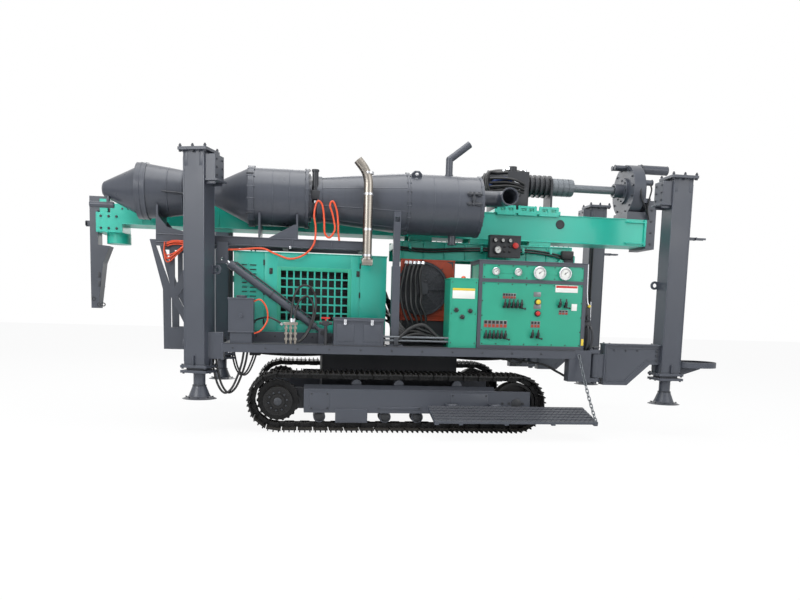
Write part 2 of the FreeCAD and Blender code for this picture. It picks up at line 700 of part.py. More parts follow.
def pumps():
    """The pumps on the engine's end, in the canopy's open bay."""
    stations = [(ENGINE_X[1] + x, r) for x, r in PUMP_STATIONS]
    body = turned(stations, PUMP_Y, PUMP_Z)
    ports = [
        block((ENGINE_X[1] + x, ENGINE_X[1] + x + 2 * PUMP_PORT), (PUMP_Y - PUMP_PORT, PUMP_Y + PUMP_PORT), (PUMP_Z, PUMP_Z + r + 35))
        for x, r in ((130, 130), (320, 95))
    ]
    return join([body] + ports)


def exhaust():
    """The exhaust, a bare tube with its mouth turned back, on its foot at the canopy."""
    x, y = EXHAUST_X, EXHAUST_Y
    inner = EXHAUST_R - EXHAUST_WALL
    bend = EXHAUST_BEND_Z
    up = tube((x, y, EXHAUST_FOOT_Z[1]), (x, y, bend + 10), EXHAUST_R, inner)
    elbow = tube((x, y, bend - 10), (x + EXHAUST_MOUTH[0], y, bend + EXHAUST_MOUTH[1]), EXHAUST_R, inner)
    mouth = rod((x, y, bend - 50), (x, y, bend + 10), inner)
    foot = block((x - 60, x + 60), (y - 60, CANOPY_Y[0]), EXHAUST_FOOT_Z)
    return join([join([up, elbow]).cut(mouth), foot])


def tool_box():
    body = block(TOOL_BOX_X, TOOL_BOX_Y, (DECK_Z[1], TOOL_BOX_TOP_Z))
    lid = block(
        (TOOL_BOX_X[0] - LID_OVER, TOOL_BOX_X[1] + LID_OVER), (TOOL_BOX_Y[0] - 8, TOOL_BOX_Y[1] + 5),
        (TOOL_BOX_TOP_Z, TOOL_BOX_TOP_Z + LID),
    )
    return join([body, lid])


def grease_tank():
    """The grease tank on its stand, with its filler cap and the port on its side."""
    x0, x1 = GREASE_X
    y0, y1 = TOOL_BOX_Y
    middle = ((x0 + x1) / 2, (y0 + y1) / 2)
    body = block(GREASE_X, TOOL_BOX_Y, GREASE_Z)
    stand = block((x0 + 16, x1 - 16), (y0 + 15, y1 - 15), (DECK_Z[1], GREASE_Z[0]))
    lid = rod((*middle, GREASE_Z[1]), (*middle, GREASE_Z[1] + 22), GREASE_CAP_R)
    port_z = (GREASE_Z[0] + GREASE_Z[1]) / 2
    port = rod((middle[0], y0 - 20, port_z), (middle[0], y0, port_z), 18)
    return join([body, stand, lid, port])


def oil_tank():
    return block(OIL_TANK_X, OIL_TANK_Y, (DECK_Z[1], OIL_TANK_TOP_Z))


def cooler():
    """The cooler's core with its shroud plate, and the fan in the shroud's ring."""
    x0, x1 = COOLER_X
    y0 = COOLER_Y[0]
    plate_y = y0 - PLATE
    fan_y = plate_y - 28
    core = block(COOLER_X, COOLER_Y, (DECK_Z[1], COOLER_TOP_Z))
    plate = block((x0 - 30, x1 + 20), (plate_y, y0), (FAN_Z - 350, COOLER_TOP_Z + 25))
    ring = tube((FAN_X, fan_y, FAN_Z), (FAN_X, plate_y, FAN_Z), FAN_R, FAN_R - 20)
    hub = rod((FAN_X, fan_y + 4, FAN_Z), (FAN_X, plate_y, FAN_Z), FAN_HUB_R)
    reach = FAN_R - 19
    half = BLADE_WIDTH / 2
    blades = [block((FAN_X - reach, FAN_X + reach), (fan_y + 10, fan_y + 16), (FAN_Z - half, FAN_Z + half))]
    for i in (1, 2, 3):
        blade = blades[0].copy()
        blade.rotate(vec(FAN_X, 0, FAN_Z), vec(0, 1, 0), 45 * i)
        blades.append(blade)
    return join([core, plate, ring, hub] + blades)


def rest_post():
    """The post that the cyclone rests on, narrower above its step, with its lashing hole."""
    half = POST_W / 2

    def section(half_x, half_y, z0, z1):
        return block((POST_X - half_x, POST_X + half_x), (POST_Y - half_y, POST_Y + half_y), (z0, z1))

    post = section(half, half, DECK_Z[1], POST_STEP_Z)
    upper = section(half - 8, half - 8, POST_STEP_Z, POST_TOP_Z)
    foot = section(half + 43, half + 39, DECK_Z[1], DECK_Z[1] + 15)
    hole = section(half - 17, half + 9, POST_TOP_Z - 103, POST_TOP_Z - 53)
    return join([post, upper, foot]).cut(hole)


# Control side

def cabinet_frame(xs, ys, zs, bar, mid):
    """A frame of bars round a cabinet, with one rail across its front."""
    box = block(xs, ys, zs)
    cuts = [
        block((xs[0] - 1, xs[1] + 1), (ys[0] + bar, ys[1] - bar), (zs[0] + bar, zs[1] - bar)),
        block((xs[0] + bar, xs[1] - bar), (ys[0] - 1, ys[1] + 1), (zs[0] + bar, zs[1] - bar)),
        block((xs[0] + bar, xs[1] - bar), (ys[0] + bar, ys[1] - bar), (zs[0] - 1, zs[1] + 1)),
    ]
    frame = cut(box, cuts)
    if mid:
        frame = join([frame, block((xs[0] + 1, xs[1] - 1), (ys[0], ys[0] + bar), (mid, mid + bar))])
    return frame


def cabinet_panels(xs, ys, zs, bar, mid):
    """The closed panels that fill a cabinet's frame, set back a little from its bars."""
    inset = PANEL_INSET
    body = block((xs[0] + inset, xs[1] - inset), (ys[0] + inset, ys[1] - inset), (zs[0] + inset, zs[1] - inset))
    return body.cut(cabinet_frame(xs, ys, zs, bar, mid))


def lever_bank(count, x0, x1, z):
    """A row of control levers on one plate."""
    face = CABINET_Y[0] + PANEL_INSET
    pieces = [block((x0, x1), (face - 4, face), (z - 25, z + 25))]
    step = (x1 - x0) / count
    for i in range(count):
        x = x0 + (i + 0.5) * step
        tip = (x, face - LEVER_REACH, z + LEVER_RISE)
        pieces.append(rod((x, face - 4, z), tip, LEVER_R))
        pieces.append(Part.makeSphere(LEVER_KNOB_R, vec(*tip)))
    return join(pieces)


def gauges():
    """The pressure gauges on the strip that joins them."""
    face = CABINET_Y[0] + PANEL_INSET
    strip = block((GAUGES[0][0] - 45, GAUGES[-1][0] + 85), (face - 3, face), (GAUGE_Z - 13, GAUGE_Z + 9))
    return join([strip] + [rod((x, face - 22, GAUGE_Z), (x, face, GAUGE_Z), r) for x, r in GAUGES])


# Mast and what moves on it

def mast_stand():
    """The two plates and their pin that carry the mast on the deck's front end."""
    pieces = []
    for side in (-1, 1):
        y = side * (SLIDE_HALF_Y + 10)
        pieces.append(side_plate([
            (1440, DECK_Z[1]), (DECK_X[1], DECK_Z[1]), (PIVOT_X + 75, PIVOT_Z - 60), (PIVOT_X + 75, PIVOT_Z + 50),
            (PIVOT_X + 30, PIVOT_Z + 75), (PIVOT_X - 60, PIVOT_Z + 60), (1640, 1500),
        ], (y, y + side * 30)))
    pieces.append(block((1560, 1820), (-SLIDE_HALF_Y - 11, SLIDE_HALF_Y + 11), (DECK_Z[1], DECK_Z[1] + 200)))
    pieces.append(rod((PIVOT_X, -SLIDE_HALF_Y - 40, PIVOT_Z), (PIVOT_X, SLIDE_HALF_Y + 40, PIVOT_Z), PIVOT_R))
    return join(pieces)


def lift_clevis():
    """The clevis on the deck that holds the mast cylinder's base, with its pin."""
    x, z = LIFT_BASE
    inner = LIFT_EYE_WIDTH / 2 + SEAT_GAP
    pieces = [block((x - 60, x + 60), (-inner - 20, inner + 20), (DECK_Z[1], DECK_Z[1] + 25))]
    for side in (-1, 1):
        pieces.append(block((x - 50, x + 50), (side * inner, side * (inner + 20)), (DECK_Z[1], z + 45)))
    pieces.append(rod((x, -inner - 20, z), (x, inner + 20, z), 18))
    return join(pieces)


def slide_frame():
    """The tilting frame that the mast slides on."""
    z0, z1 = SLIDE_Z
    half = SLIDE_HALF_Y
    pieces = []
    for side in (-1, 1):
        pieces.append(block(SLIDE_X, (side * half, side * (half - 20)), (z0, z1)))
        pieces.append(block(SLIDE_X, (side * half, side * (half - 60)), (z1 - 20, z1)))
    for x in (SLIDE_X[0], 480.0, 940.0, SLIDE_X[1] - 150):
        pieces.append(block((x, x + 30), (-half, half), (z1 - 90, z1 - 20)))
    inner = LIFT_EYE_WIDTH / 2 + SLIDE_GAP
    for side in (-1, 1):
        pieces.append(block((LIFT_EYE[0] - 45, LIFT_EYE[0] + 45), (side * inner, side * (inner + 16)), (LIFT_EYE[1] - 40, z1 - 20)))
    pieces.append(block((LIFT_EYE[0] - 45, LIFT_EYE[0] - 5), (-half, half), (z1 - 60, z1 - 20)))
    panel_arm = block((1200, 1260), (-380, -half), (1950, 2000))
    pieces.append(panel_arm)
    frame = join(pieces)
    pivot = rod((PIVOT_X, -half - 1, PIVOT_Z), (PIVOT_X, half + 1, PIVOT_Z), PIVOT_R + PIN_GAP)
    eyes = rod((LIFT_EYE[0], -half, LIFT_EYE[1]), (LIFT_EYE[0], half, LIFT_EYE[1]), 18 + PIN_GAP)
    return cut(frame, [pivot, eyes])


def gauge_panel():
    body = block((1069, 1424), (-462, -380), (1878, 2122))
    button = rod((1360, -470, 2010), (1360, -462, 2010), 26)
    dials = [rod((x, -474, 2065), (x, -462, 2065), 26) for x in (1130.0, 1215.0, 1300.0)]
    big = rod((1160, -476, 1960), (1160, -462, 1960), 48)
    return join([body, button, big] + dials)


def mast():
    x0, x1 = MAST_X
    z0, z1 = MAST_Z
    body = block(MAST_X, (-MAST_HALF_Y, MAST_HALF_Y), MAST_Z)
    trough = block((x0 + 200, x1 - 260), (-120, 120), (z1 - 60, z1 + 1))
    pieces = [body.cut(trough)]
    for x in (200.0, 900.0, 1600.0):
        for side in (-1, 1):
            pieces.append(block((x, x + 260), (side * (MAST_HALF_Y - 60), side * MAST_HALF_Y), (SLIDE_Z[1] + SEAT_GAP, z0)))
    pieces.append(block((x1 - 240, x1), (-MAST_HALF_Y - 20, MAST_HALF_Y + 20), (z1 - 40, z1 - 25)))
    pieces.append(block((x1 - 240, x1), (-MAST_HALF_Y - 20, MAST_HALF_Y + 20), (z0 + 20, z0 + 35)))
    return join(pieces + [crown()])


def crown():
    """The mast's head with its sheave housing and the lugs and pin of the jib."""
    x0 = CROWN_X
    half = MAST_HALF_Y
    body = block((x0, MAST_X[0] - 0), (-half, half), CROWN_Z)
    nose = block((x0 + 150, MAST_X[0]), (-half, half), (CROWN_Z[1], 2300))
    housing = rod((x0 + 190, 0, CROWN_Z[0] - 110), (x0 + 190, 0, CROWN_Z[0]), 125)
    pieces = [body, nose, housing]
    for side in (-1, 1):
        pieces.append(block((JIB_PIN[0] - 40, JIB_PIN[0] + 40), (side * (JIB_HALF_Y + 6), side * (JIB_HALF_Y + 26)), (CROWN_Z[1] - 5, JIB_PIN[1] + 45)))
    pieces.append(rod((JIB_PIN[0], -JIB_HALF_Y - 26, JIB_PIN[1]), (JIB_PIN[0], JIB_HALF_Y + 26, JIB_PIN[1]), 25))
    return join(pieces)


def jib():
    x, z = JIB_PIN
    plate = side_plate([
        (x - 152, z + 75), (x + 45, z + 75), (x + 50, z - 80), (CROWN_X - 10, z - 80), (CROWN_X - 10, 1872),
        (CROWN_X + 110, 1862), (CROWN_X + 40, 1680), (CROWN_X - 20, 1190), (CROWN_X - 90, 1190), (x - 152, 1500),
    ], (-JIB_HALF_Y, JIB_HALF_Y))
    bore = rod((x, -JIB_HALF_Y - 1, z), (x, JIB_HALF_Y + 1, z), 25 + PIN_GAP)
    bracket = block((x - 214, x - 152), (-20, 20), (2070, 2130))
    return join([plate, bracket]).cut(bore)


def carriage():
    """The carriage plate with its guide blocks, which have two pockets each."""
    top = MAST_Z[1]
    half = CARRIAGE_HALF_Y
    pieces = [block(CARRIAGE_X, (-half, half), (top + SEAT_GAP, top + CARRIAGE_PLATE))]
    pockets = []
    for x0, x1 in GUIDES_X:
        third = (x1 - x0) / 7
        for side in (-1, 1):
            inner = side * (MAST_HALF_Y + SLIDE_GAP)
            pieces.append(block((x0, x1), (inner, side * half), (top - GUIDE_DROP, top + GUIDE_RISE)))
            for start in (x0 + third, x0 + 4 * third):
                pockets.append(block(
                    (start, start + 2 * third), (side * (half - GUIDE_POCKET), side * (half + 1)), (top + 25, top + 60),
                ))
    return cut(join(pieces), pockets)


def rotary_head():
    """The head's gearbox with its motors, its ribbed neck and the bracket at the neck's end."""
    x0, x1 = HEAD_X
    floor_z = MAST_Z[1] + CARRIAGE_PLATE
    pieces = [block(HEAD_X, (-HEAD_HALF_Y, HEAD_HALF_Y), (floor_z, HEAD_TOP_Z))]
    for side in (-1, 1):
        y = side * MOTOR_Y
        pieces.append(rod((x0 - MOTOR_LENGTH, y, HEAD_TOP_Z - MOTOR_R), (x0, y, HEAD_TOP_Z - MOTOR_R), MOTOR_R))
        pieces.append(rod((x0 + 70, y, HEAD_TOP_Z), (x0 + 70, y, HEAD_TOP_Z + 60), 50))
    swivel_z = STRING_Z - 120
    pieces.append(rod((x0 - MOTOR_LENGTH - 40, 0, swivel_z), (x0, 0, swivel_z), SWIVEL_R))
    step = (HEAD_NECK_X - x1) / HEAD_DISCS
    neck = []
    for i in range(HEAD_DISCS):
        x = x1 + i * step
        neck += [(x, HEAD_NECK_R), (x + step - HEAD_DISC, HEAD_NECK_R), (x + step - HEAD_DISC, HEAD_DISC_R), (x + step, HEAD_DISC_R)]
    pieces.append(turned(neck, 0, STRING_Z))
    pieces.append(block((HEAD_NECK_X - BRACKET, HEAD_NECK_X), (-HEAD_DISC_R, HEAD_DISC_R), (floor_z, STRING_Z + 70)))
    return join(pieces)


def drill_string():
    """The cushion sleeve below the head and the rod held in the clamp."""
    x0, x1 = SLEEVE_X
    step = (x1 - x0) / SLEEVE_RINGS
    stations = [(HEAD_NECK_X, 60), (x0, 60)]
    for i in range(SLEEVE_RINGS):
        x = x0 + i * step
        stations += [(x, SLEEVE_R), (x + step - 14, SLEEVE_R), (x + step - 12, SLEEVE_R - 6), (x + step, SLEEVE_R - 6)]
    sleeve = turned(stations, 0, STRING_Z)
    bar = rod((x1 - 15, 0, STRING_Z), (ROD_END_X, 0, STRING_Z), ROD_R)
    socket = rod((ROD_END_X - SOCKET_DEPTH, 0, STRING_Z), (ROD_END_X, 0, STRING_Z), SOCKET_R)
    return join([sleeve, bar]).cut(socket)


def clamp():
    """The clamp that holds and breaks the rods, with the plate at the mast's foot and its jaw cylinders."""
    x0, x1 = CLAMP_X
    end = MAST_X[1]
    foot = block((end, end + CLAMP_FOOT), (-215, 215), (MAST_Z[0] - 30, STRING_Z - 130))
    disc = rod((x0, 0, STRING_Z), (x1, 0, STRING_Z), CLAMP_R)
    rim = rod((x0 - 25, 0, STRING_Z), (x0, 0, STRING_Z), CLAMP_R / 2)
    collar = rod((x0 - 130, 0, STRING_Z), (x0, 0, STRING_Z), CLAMP_COLLAR_R)
    motor = rod((x1, -60, STRING_Z + 250), (x1 + CLAMP_MOTOR_END, -60, STRING_Z + 250), CLAMP_MOTOR_R)
    pieces = [foot, disc, rim, collar, motor]
    for y in (-60.0, 20.0):
        pieces.append(rod((x0 - 150, y, STRING_Z + 260), (x0, y, STRING_Z + 260), 25))
    pieces.append(block((x0 - 20, end + 5), (-190, 190), (MAST_Z[1], STRING_Z - 260)))
    for side in (-1, 1):
        y = side * JAW_Y
        jaw_x = (x1 + end) / 2 - 30
        pieces.append(rod((x1 - 82, y, JAW_Z), (end + 20, y, JAW_Z), JAW_R))
        pieces.append(rod((jaw_x, y, STRING_Z - 150), (jaw_x, y, JAW_Z), 20))
        pieces.append(block((x1 - 10, end + 4), (side * (JAW_Y - 50), side * (JAW_Y + 20)), (STRING_Z - 165, STRING_Z - 115)))
    bore = rod((x0 - 140, 0, STRING_Z), (end + CLAMP_FOOT, 0, STRING_Z), ROD_R + 15)
    return join(pieces).cut(bore)


# Cyclone line

LINE_STATIONS = {
    "sample_cone": ((-3000, 55), (-2985, 75), (-2650, 240), (-2650, 280), (-2595, 280)),
    "sample_body": (
        (-2595, 280), (-2545, 280), (-2545, 270), (-2200, 225), (-2100, 100), (-1945, 90),
        (-1545, 285), (-1545, 305), (-1518, 305),
    ),
    "catch_drum": ((-1518, 305), (-1490, 305), (-1490, CATCH_R), (-965, CATCH_R), (-965, 305), (-940, 305)),
    "gate_valve": ((-940, 240), (-905, 240), (-905, 195), (-850, 195), (-850, 240), (-800, 240)),
    "cyclone_cone": ((-800, 230), (85, DRUM_R), (85, DRUM_R + 6), (105, DRUM_R + 6)),
    "cyclone_drum": ((105, DRUM_R), (866, DRUM_R), (866, DRUM_R + 6), (890, DRUM_R + 6)),
}
LINE_HOLLOWS = {
    "sample_cone": ((-2970, 82 - VESSEL_WALL), (-2650 - VESSEL_WALL, 236 - VESSEL_WALL)),
    "sample_body": ((-2545 + VESSEL_WALL, 268 - VESSEL_WALL), (-2200 - VESSEL_WALL, 225 - VESSEL_WALL)),
    "catch_drum": ((-1518 + VESSEL_WALL, CATCH_R - VESSEL_WALL), (-940 - VESSEL_WALL, CATCH_R - VESSEL_WALL)),
    "cyclone_cone": ((-800 + VESSEL_WALL, 230 - VESSEL_WALL), (105 - VESSEL_WALL, DRUM_R - VESSEL_WALL)),
    "cyclone_drum": ((105 + VESSEL_WALL, DRUM_R - VESSEL_WALL), (890 - VESSEL_WALL, DRUM_R - VESSEL_WALL)),
}


def line_piece(name):
    """One vessel of the cyclone line, closed at its ends and hollow inside."""
    vessel = turned(LINE_STATIONS[name], LINE_Y, LINE_Z)
    if name in LINE_HOLLOWS:
        vessel = vessel.cut(turned(LINE_HOLLOWS[name], LINE_Y, LINE_Z))
    return vessel


def drum_fittings():
    """The stub under the drum and the lifting lug on its near shoulder."""
    stub = rod((STUB_X, LINE_Y, STUB_Z), (STUB_X, LINE_Y, LINE_Z - DRUM_R + 25), STUB_R)
    stub = stub.cut(rod((0, LINE_Y, LINE_Z), (900, LINE_Y, LINE_Z), DRUM_R - VESSEL_WALL / 2))
    x0, x1 = LUG_X
    low = LINE_Z + DRUM_R - VESSEL_WALL / 2
    top = LINE_Z + DRUM_R + LUG_RISE
    lug = side_plate([(x0, low), (x1, low), (x1, top - 30), (x1 - 30, top), (x0 + 30, top), (x0, top - 30)], (LINE_Y - 8, LINE_Y + 8))
    middle = (x0 + x1) / 2
    lug = lug.cut(rod((middle, LINE_Y - 9, top - 32), (middle, LINE_Y + 9, top - 32), 18))
    lug.rotate(vec(0, LINE_Y, LINE_Z), vec(1, 0, 0), LUG_TURN)
    return [stub, lug]


def sample_tube():
    """The small tube beside the sample cone's tip, with the plate that holds it."""
    x0, x1 = SAMPLE_TUBE_X
    y, z = SAMPLE_TUBE_Y, SAMPLE_TUBE_Z
    x = (x0 + x1) / 2 + 44
    return [rod((x0, y, z), (x1, y, z), SAMPLE_TUBE_R), block((x, x + 25), (y, y + 35), (z, LINE_Z - 73))]


def inlet_pipe():
    """The pipe that leaves the drum's end and turns to the control side."""
    r = 84.0
    wall = 5.0
    z = LINE_Z + 100
    bend = 130.0
    x_turn = 1180.0
    y_line = LINE_Y - 0.0
    shapes = []
    for radius in (r, r - wall):
        straight = rod((890, y_line, z), (x_turn - bend, y_line, z), radius)
        elbow_face = Part.Face(Part.Wire(Part.makeCircle(radius, vec(x_turn - bend, y_line, z), vec(1, 0, 0))))
        elbow = elbow_face.revolve(vec(x_turn - bend, y_line - bend, z), vec(0, 0, 1), -90)
        end = rod((x_turn, y_line - bend, z), (x_turn, y_line - bend - 100, z), radius)
        shapes.append(straight.fuse([elbow, end]))
    return shapes[0].cut(shapes[1])


def outlet_pipe():
    x = 560.0
    r = 38.0
    top = LINE_Z + DRUM_R - 8
    up = rod((x, LINE_Y, top), (x, LINE_Y, 2890), r)
    tip = rod((x - 8, LINE_Y, 2872), (776, LINE_Y, 3050), r)
    bore = rod((x + 40, LINE_Y, 2915), (790, LINE_Y, 3062), r - 4)
    drum = rod((0, LINE_Y, LINE_Z), (900, LINE_Y, LINE_Z), DRUM_R)
    return join([up, tip]).cut(bore).cut(drum)


def cyclone_frame():
    """The tilting frame that carries the cyclone line, with its two side trusses."""
    y0, y1 = FRAME_Y
    z0, z1 = FRAME_Z
    pieces = [
        block(FRAME_X, (y0, y0 + FRAME_RAIL), FRAME_Z),
        block(FRAME_X, (y1 - FRAME_RAIL, y1), FRAME_Z),
    ]
    for x in (FRAME_X[0], FRAME_X[0] + 400, FRAME_X[0] + 1240, FRAME_X[1] - 60):
        pieces.append(block((x, x + 60), (y0, y1), (z0 + 5, z1)))
    rear = FRAME_X[0]
    truss = [(rear + x, z) for x, z in TRUSS]
    windows = [[(rear + x, z) for x, z in window] for window in TRUSS_WINDOWS]
    for ys in ((y0, y0 + TRUSS_PLATE), (y1 - TRUSS_PLATE, y1)):
        plate = side_plate(truss, ys)
        plate = cut(plate, [side_plate(w, (ys[0] - 1, ys[1] + 1)) for w in windows])
        pieces.append(plate)
    pieces.append(block((rear + 70, rear + 120), (y0, y1), (960, 1010)))
    saddles = []
    for x, top in SADDLES:
        saddles.append(block((x, x + SADDLE), (y0 + 20, y1 - 20), (z1, top)))
    line = [turned(LINE_STATIONS[name], LINE_Y, LINE_Z) for name in ("sample_body", "catch_drum")]
    pieces += [cut(s, line) for s in saddles]
    x, z = CYL_EYE
    pieces.append(block((x - 60, x + CYL_CLEVIS), (CYL_Y - 40, y0 + 5), (z0, z0 + 20)))
    for y in (CYL_Y - 40, CYL_Y + 30):
        pieces.append(block((x - 60, x + CYL_CLEVIS), (y, y + 10), (z - 45, z0 + 20)))
    frame = join(pieces)
    pivot = rod((TILT_X, y0 - 1, TILT_Z), (TILT_X, y1 + 1, TILT_Z), TILT_PIN_R + PIN_GAP)
    eye = rod((x, CYL_Y - 60, z), (x, CYL_Y + 60, z), 18 + PIN_GAP)
    return cut(frame, [pivot, eye])


# Cylinders

def along(base, eye, y, share):
    """A point on a cylinder's line, at a length from its base pin."""
    length = math.hypot(eye[0] - base[0], eye[1] - base[1])
    return (base[0] + (eye[0] - base[0]) * share / length, y, base[1] + (eye[1] - base[1]) * share / length)


def cylinder(base, eye, y, outer, bore, rod_r, barrel, width):
    """A cylinder's barrel and its rod, each with its eye."""
    length = math.hypot(eye[0] - base[0], eye[1] - base[1])

    def at(s):
        return along(base, eye, y, s)

    body = join([
        rod(at(20), at(NECK), width / 2 - 6),
        rod(at(NECK), at(barrel), outer),
        rod(at(barrel - 60), at(barrel), outer + 6),
        rod((base[0], y - width / 2, base[1]), (base[0], y + width / 2, base[1]), 38),
    ])
    floor_ = NECK + PLATE
    body = cut(body, [
        rod(at(floor_), at(barrel - GLAND), bore),
        rod(at(floor_), at(barrel + 1), rod_r + PIN_GAP),
        rod((base[0], y - width, base[1]), (base[0], y + width, base[1]), PIN_R + PIN_GAP),
    ])
    start = floor_ + 5
    piston = join([
        rod(at(start), at(length - 20), rod_r),
        rod(at(start), at(start + PISTON), bore - PIN_GAP),
        rod((eye[0], y - width / 2, eye[1]), (eye[0], y + width / 2, eye[1]), 36),
    ])
    piston = piston.cut(rod((eye[0], y - width, eye[1]), (eye[0], y + width, eye[1]), PIN_R + PIN_GAP))
    return body, piston


def cyclone_stand():
    """The clevis on the deck that holds the cyclone cylinder's base, with its pin."""
    x, z = CYL_BASE
    pieces = []
    for y in (CYL_Y - 42, CYL_Y + 32):
        pieces.append(block((x - 45, x + 45), (y, y + 10), (DECK_Z[1], z + 42)))
    pieces.append(block((x - 45, x + 45), (CYL_Y - 42, CYL_Y + 42), (DECK_Z[1], z - 50)))
    pieces.append(rod((x, CYL_Y - 42, z), (x, CYL_Y + 42, z), 18))
    return join(pieces)


# Step board

def step_board():
    y0, z0 = STEP_HINGE
    x0, x1 = STEP_X
    pieces = []
    slat = STEP_WIDTH / STEP_SLATS
    for i in range(STEP_SLATS):
        y = y0 - STEP_START - i * slat
        pieces.append(block(STEP_X, (y - slat + 18, y), (z0 - 15, z0 + 10)))
    for x in (x0 + 20, 1500.0, x1 - 20) + STEP_HINGES_X:
        pieces.append(block((x - 20, x + 20), (y0 - STEP_START - STEP_WIDTH + 18, y0 - STEP_START), (z0 - 30, z0 - 14)))
    for x in STEP_HINGES_X:
        half = STEP_EYE / 2 - SEAT_GAP
        pieces.append(rod((x - half, y0, z0), (x + half, y0, z0), STEP_PIN_R + 10))
        pieces.append(block((x - half, x + half), (y0 - STEP_START - 30, y0), (z0 - 20, z0 - 5)))
    board = join(pieces)
    board = board.cut(rod((x0, y0, z0), (x1, y0, z0), STEP_PIN_R + PIN_GAP))
    board.rotate(vec(0, y0, z0), vec(1, 0, 0), STEP_SLOPE)
    return board


# Make every piece

keep_pair("track", track())
keep_pair("track_frame", track_frame())
keep_pair("sprocket", sprocket())
keep_pair("idler", idler())
keep("undercarriage", undercarriage())
keep("deck", deck())
keep_pair("rear_leg", rear_leg())
keep_pair("rear_jack", jack(LEG_REAR_X, LEG_REAR_TURN))
keep_pair("swing_arm", swing_arm())
keep_pair("front_leg", front_leg())
keep_pair("front_jack", jack(LEG_FRONT_X, LEG_FRONT_TURN))
keep("step_board", step_board())
keep("canopy", canopy())
keep("canopy_grille", canopy_grille())
keep("engine", engine())
keep("pumps", pumps())
keep("exhaust", exhaust())
keep("tool_box", tool_box())
keep("grease_tank", grease_tank())
keep("oil_tank", oil_tank())
keep("cooler", cooler())
keep("rest_post", rest_post())
keep("cabinet_frame", cabinet_frame(CABINET_X, CABINET_Y, CABINET_Z, CABINET_BAR, CABINET_MID_Z))
keep("cabinet_panels", cabinet_panels(CABINET_X, CABINET_Y, CABINET_Z, CABINET_BAR, CABINET_MID_Z))
keep("side_cabinet", block(SMALL_X, SMALL_Y, SMALL_Z))
keep("gauges", gauges())
keep("levers", Part.makeCompound([lever_bank(count, *bank) for count, bank in zip(LEVER_COUNTS, LEVER_BANKS)]))
keep("mast_stand", mast_stand())
keep("slide_frame", slide_frame())
keep("gauge_panel", gauge_panel())
keep("mast", mast())
keep("clamp", clamp())
keep("jib", jib())
keep("carriage", carriage())
keep("rotary_head", rotary_head())
keep("drill_string", drill_string())
barrel, piston = cylinder(LIFT_BASE, LIFT_EYE, 0.0, LIFT_R, LIFT_BORE, LIFT_ROD_R, LIFT_BARREL, LIFT_EYE_WIDTH)
keep("lift_barrel", barrel)
keep("lift_rod", piston)
keep("sample_cone", join([line_piece("sample_cone")] + sample_tube()))
for piece_name in ("sample_body", "catch_drum", "gate_valve", "cyclone_cone"):
    keep(piece_name, line_piece(piece_name))
keep("cyclone_drum", join([line_piece("cyclone_drum"), outlet_pipe()] + drum_fittings()))
keep("inlet_pipe", inlet_pipe())
keep("cyclone_frame", cyclone_frame())
barrel, piston = cylinder(CYL_BASE, CYL_EYE, CYL_Y, CYL_R, CYL_BORE, CYL_ROD_R, CYL_BARREL, CYL_EYE_WIDTH)
keep("tilt_barrel", barrel)
keep("tilt_rod", piston)

write_all()
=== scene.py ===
import math

import bmesh
import bpy
from mathutils import Matrix, Vector


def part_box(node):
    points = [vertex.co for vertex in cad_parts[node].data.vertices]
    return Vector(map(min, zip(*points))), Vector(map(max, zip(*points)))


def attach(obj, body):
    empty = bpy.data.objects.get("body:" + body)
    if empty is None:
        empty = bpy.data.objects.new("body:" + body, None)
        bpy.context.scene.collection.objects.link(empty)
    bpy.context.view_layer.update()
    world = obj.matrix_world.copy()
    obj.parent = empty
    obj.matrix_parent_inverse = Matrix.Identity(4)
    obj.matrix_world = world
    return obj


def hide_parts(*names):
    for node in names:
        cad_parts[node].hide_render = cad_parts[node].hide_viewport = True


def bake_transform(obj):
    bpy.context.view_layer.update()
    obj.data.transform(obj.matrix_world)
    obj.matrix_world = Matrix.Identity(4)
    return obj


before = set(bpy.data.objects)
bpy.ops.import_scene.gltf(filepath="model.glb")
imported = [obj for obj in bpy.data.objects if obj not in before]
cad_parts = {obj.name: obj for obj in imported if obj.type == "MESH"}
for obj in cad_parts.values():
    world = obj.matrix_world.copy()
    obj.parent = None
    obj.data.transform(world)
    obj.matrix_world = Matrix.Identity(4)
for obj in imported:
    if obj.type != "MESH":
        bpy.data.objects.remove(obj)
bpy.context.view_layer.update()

# Places below are millimetres in the machine's own measure: x and y from the point midway between
# the tracks, z up from the ground. The front idler is round, so its box gives that point.
MM = 0.001
IDLER_X = 1268.0
idler_low, idler_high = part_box("idler_near")
near_low, near_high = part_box("track_near")
far_low, far_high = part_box("track_far")
ORIGIN = Vector((
    (idler_low.x + idler_high.x) / 2 - IDLER_X * MM,
    (near_low.y + far_high.y) / 2,
    0.0,
))


def at(x, y, z):
    """A place on the machine, in the frame's metres."""
    return ORIGIN + Vector((x, y, z)) * MM


def span(node):
    """The box of a CAD node in millimetres on the machine: ranges of x, y and z."""
    low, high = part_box(node)
    low = (low - ORIGIN) / MM
    high = (high - ORIGIN) / MM
    return (low.x, high.x), (low.y, high.y), (low.z, high.z)


# Colours as they read on a screen, red, green and blue from 0 to 255
SLATE = (66, 70, 79)
# The slate paint as it reads in shadow: painted shade for bolts, caps and parts under or behind others
SLATE_DARK = (48, 51, 57)
TEAL = (36, 180, 158)
TEAL_PANEL = (34, 154, 126)
TEAL_CANOPY = (38, 160, 142)
TRACK_BLACK = (20, 20, 21)
RUBBER = (24, 25, 27)
CAST_BLACK = (44, 46, 50)
ORANGE_HOSE = (220, 78, 36)
SHROUD_RED = (150, 56, 30)
STEEL_GREY = (104, 109, 114)
BRIGHT_STEEL = (196, 198, 202)
STAINLESS = (150, 144, 136)
WHITE = (232, 232, 228)
PLATE_GREY = (120, 122, 124)
RED = (196, 40, 34)
YELLOW = (224, 196, 60)
BLUE = (36, 62, 120)
DUST = (148, 142, 132)


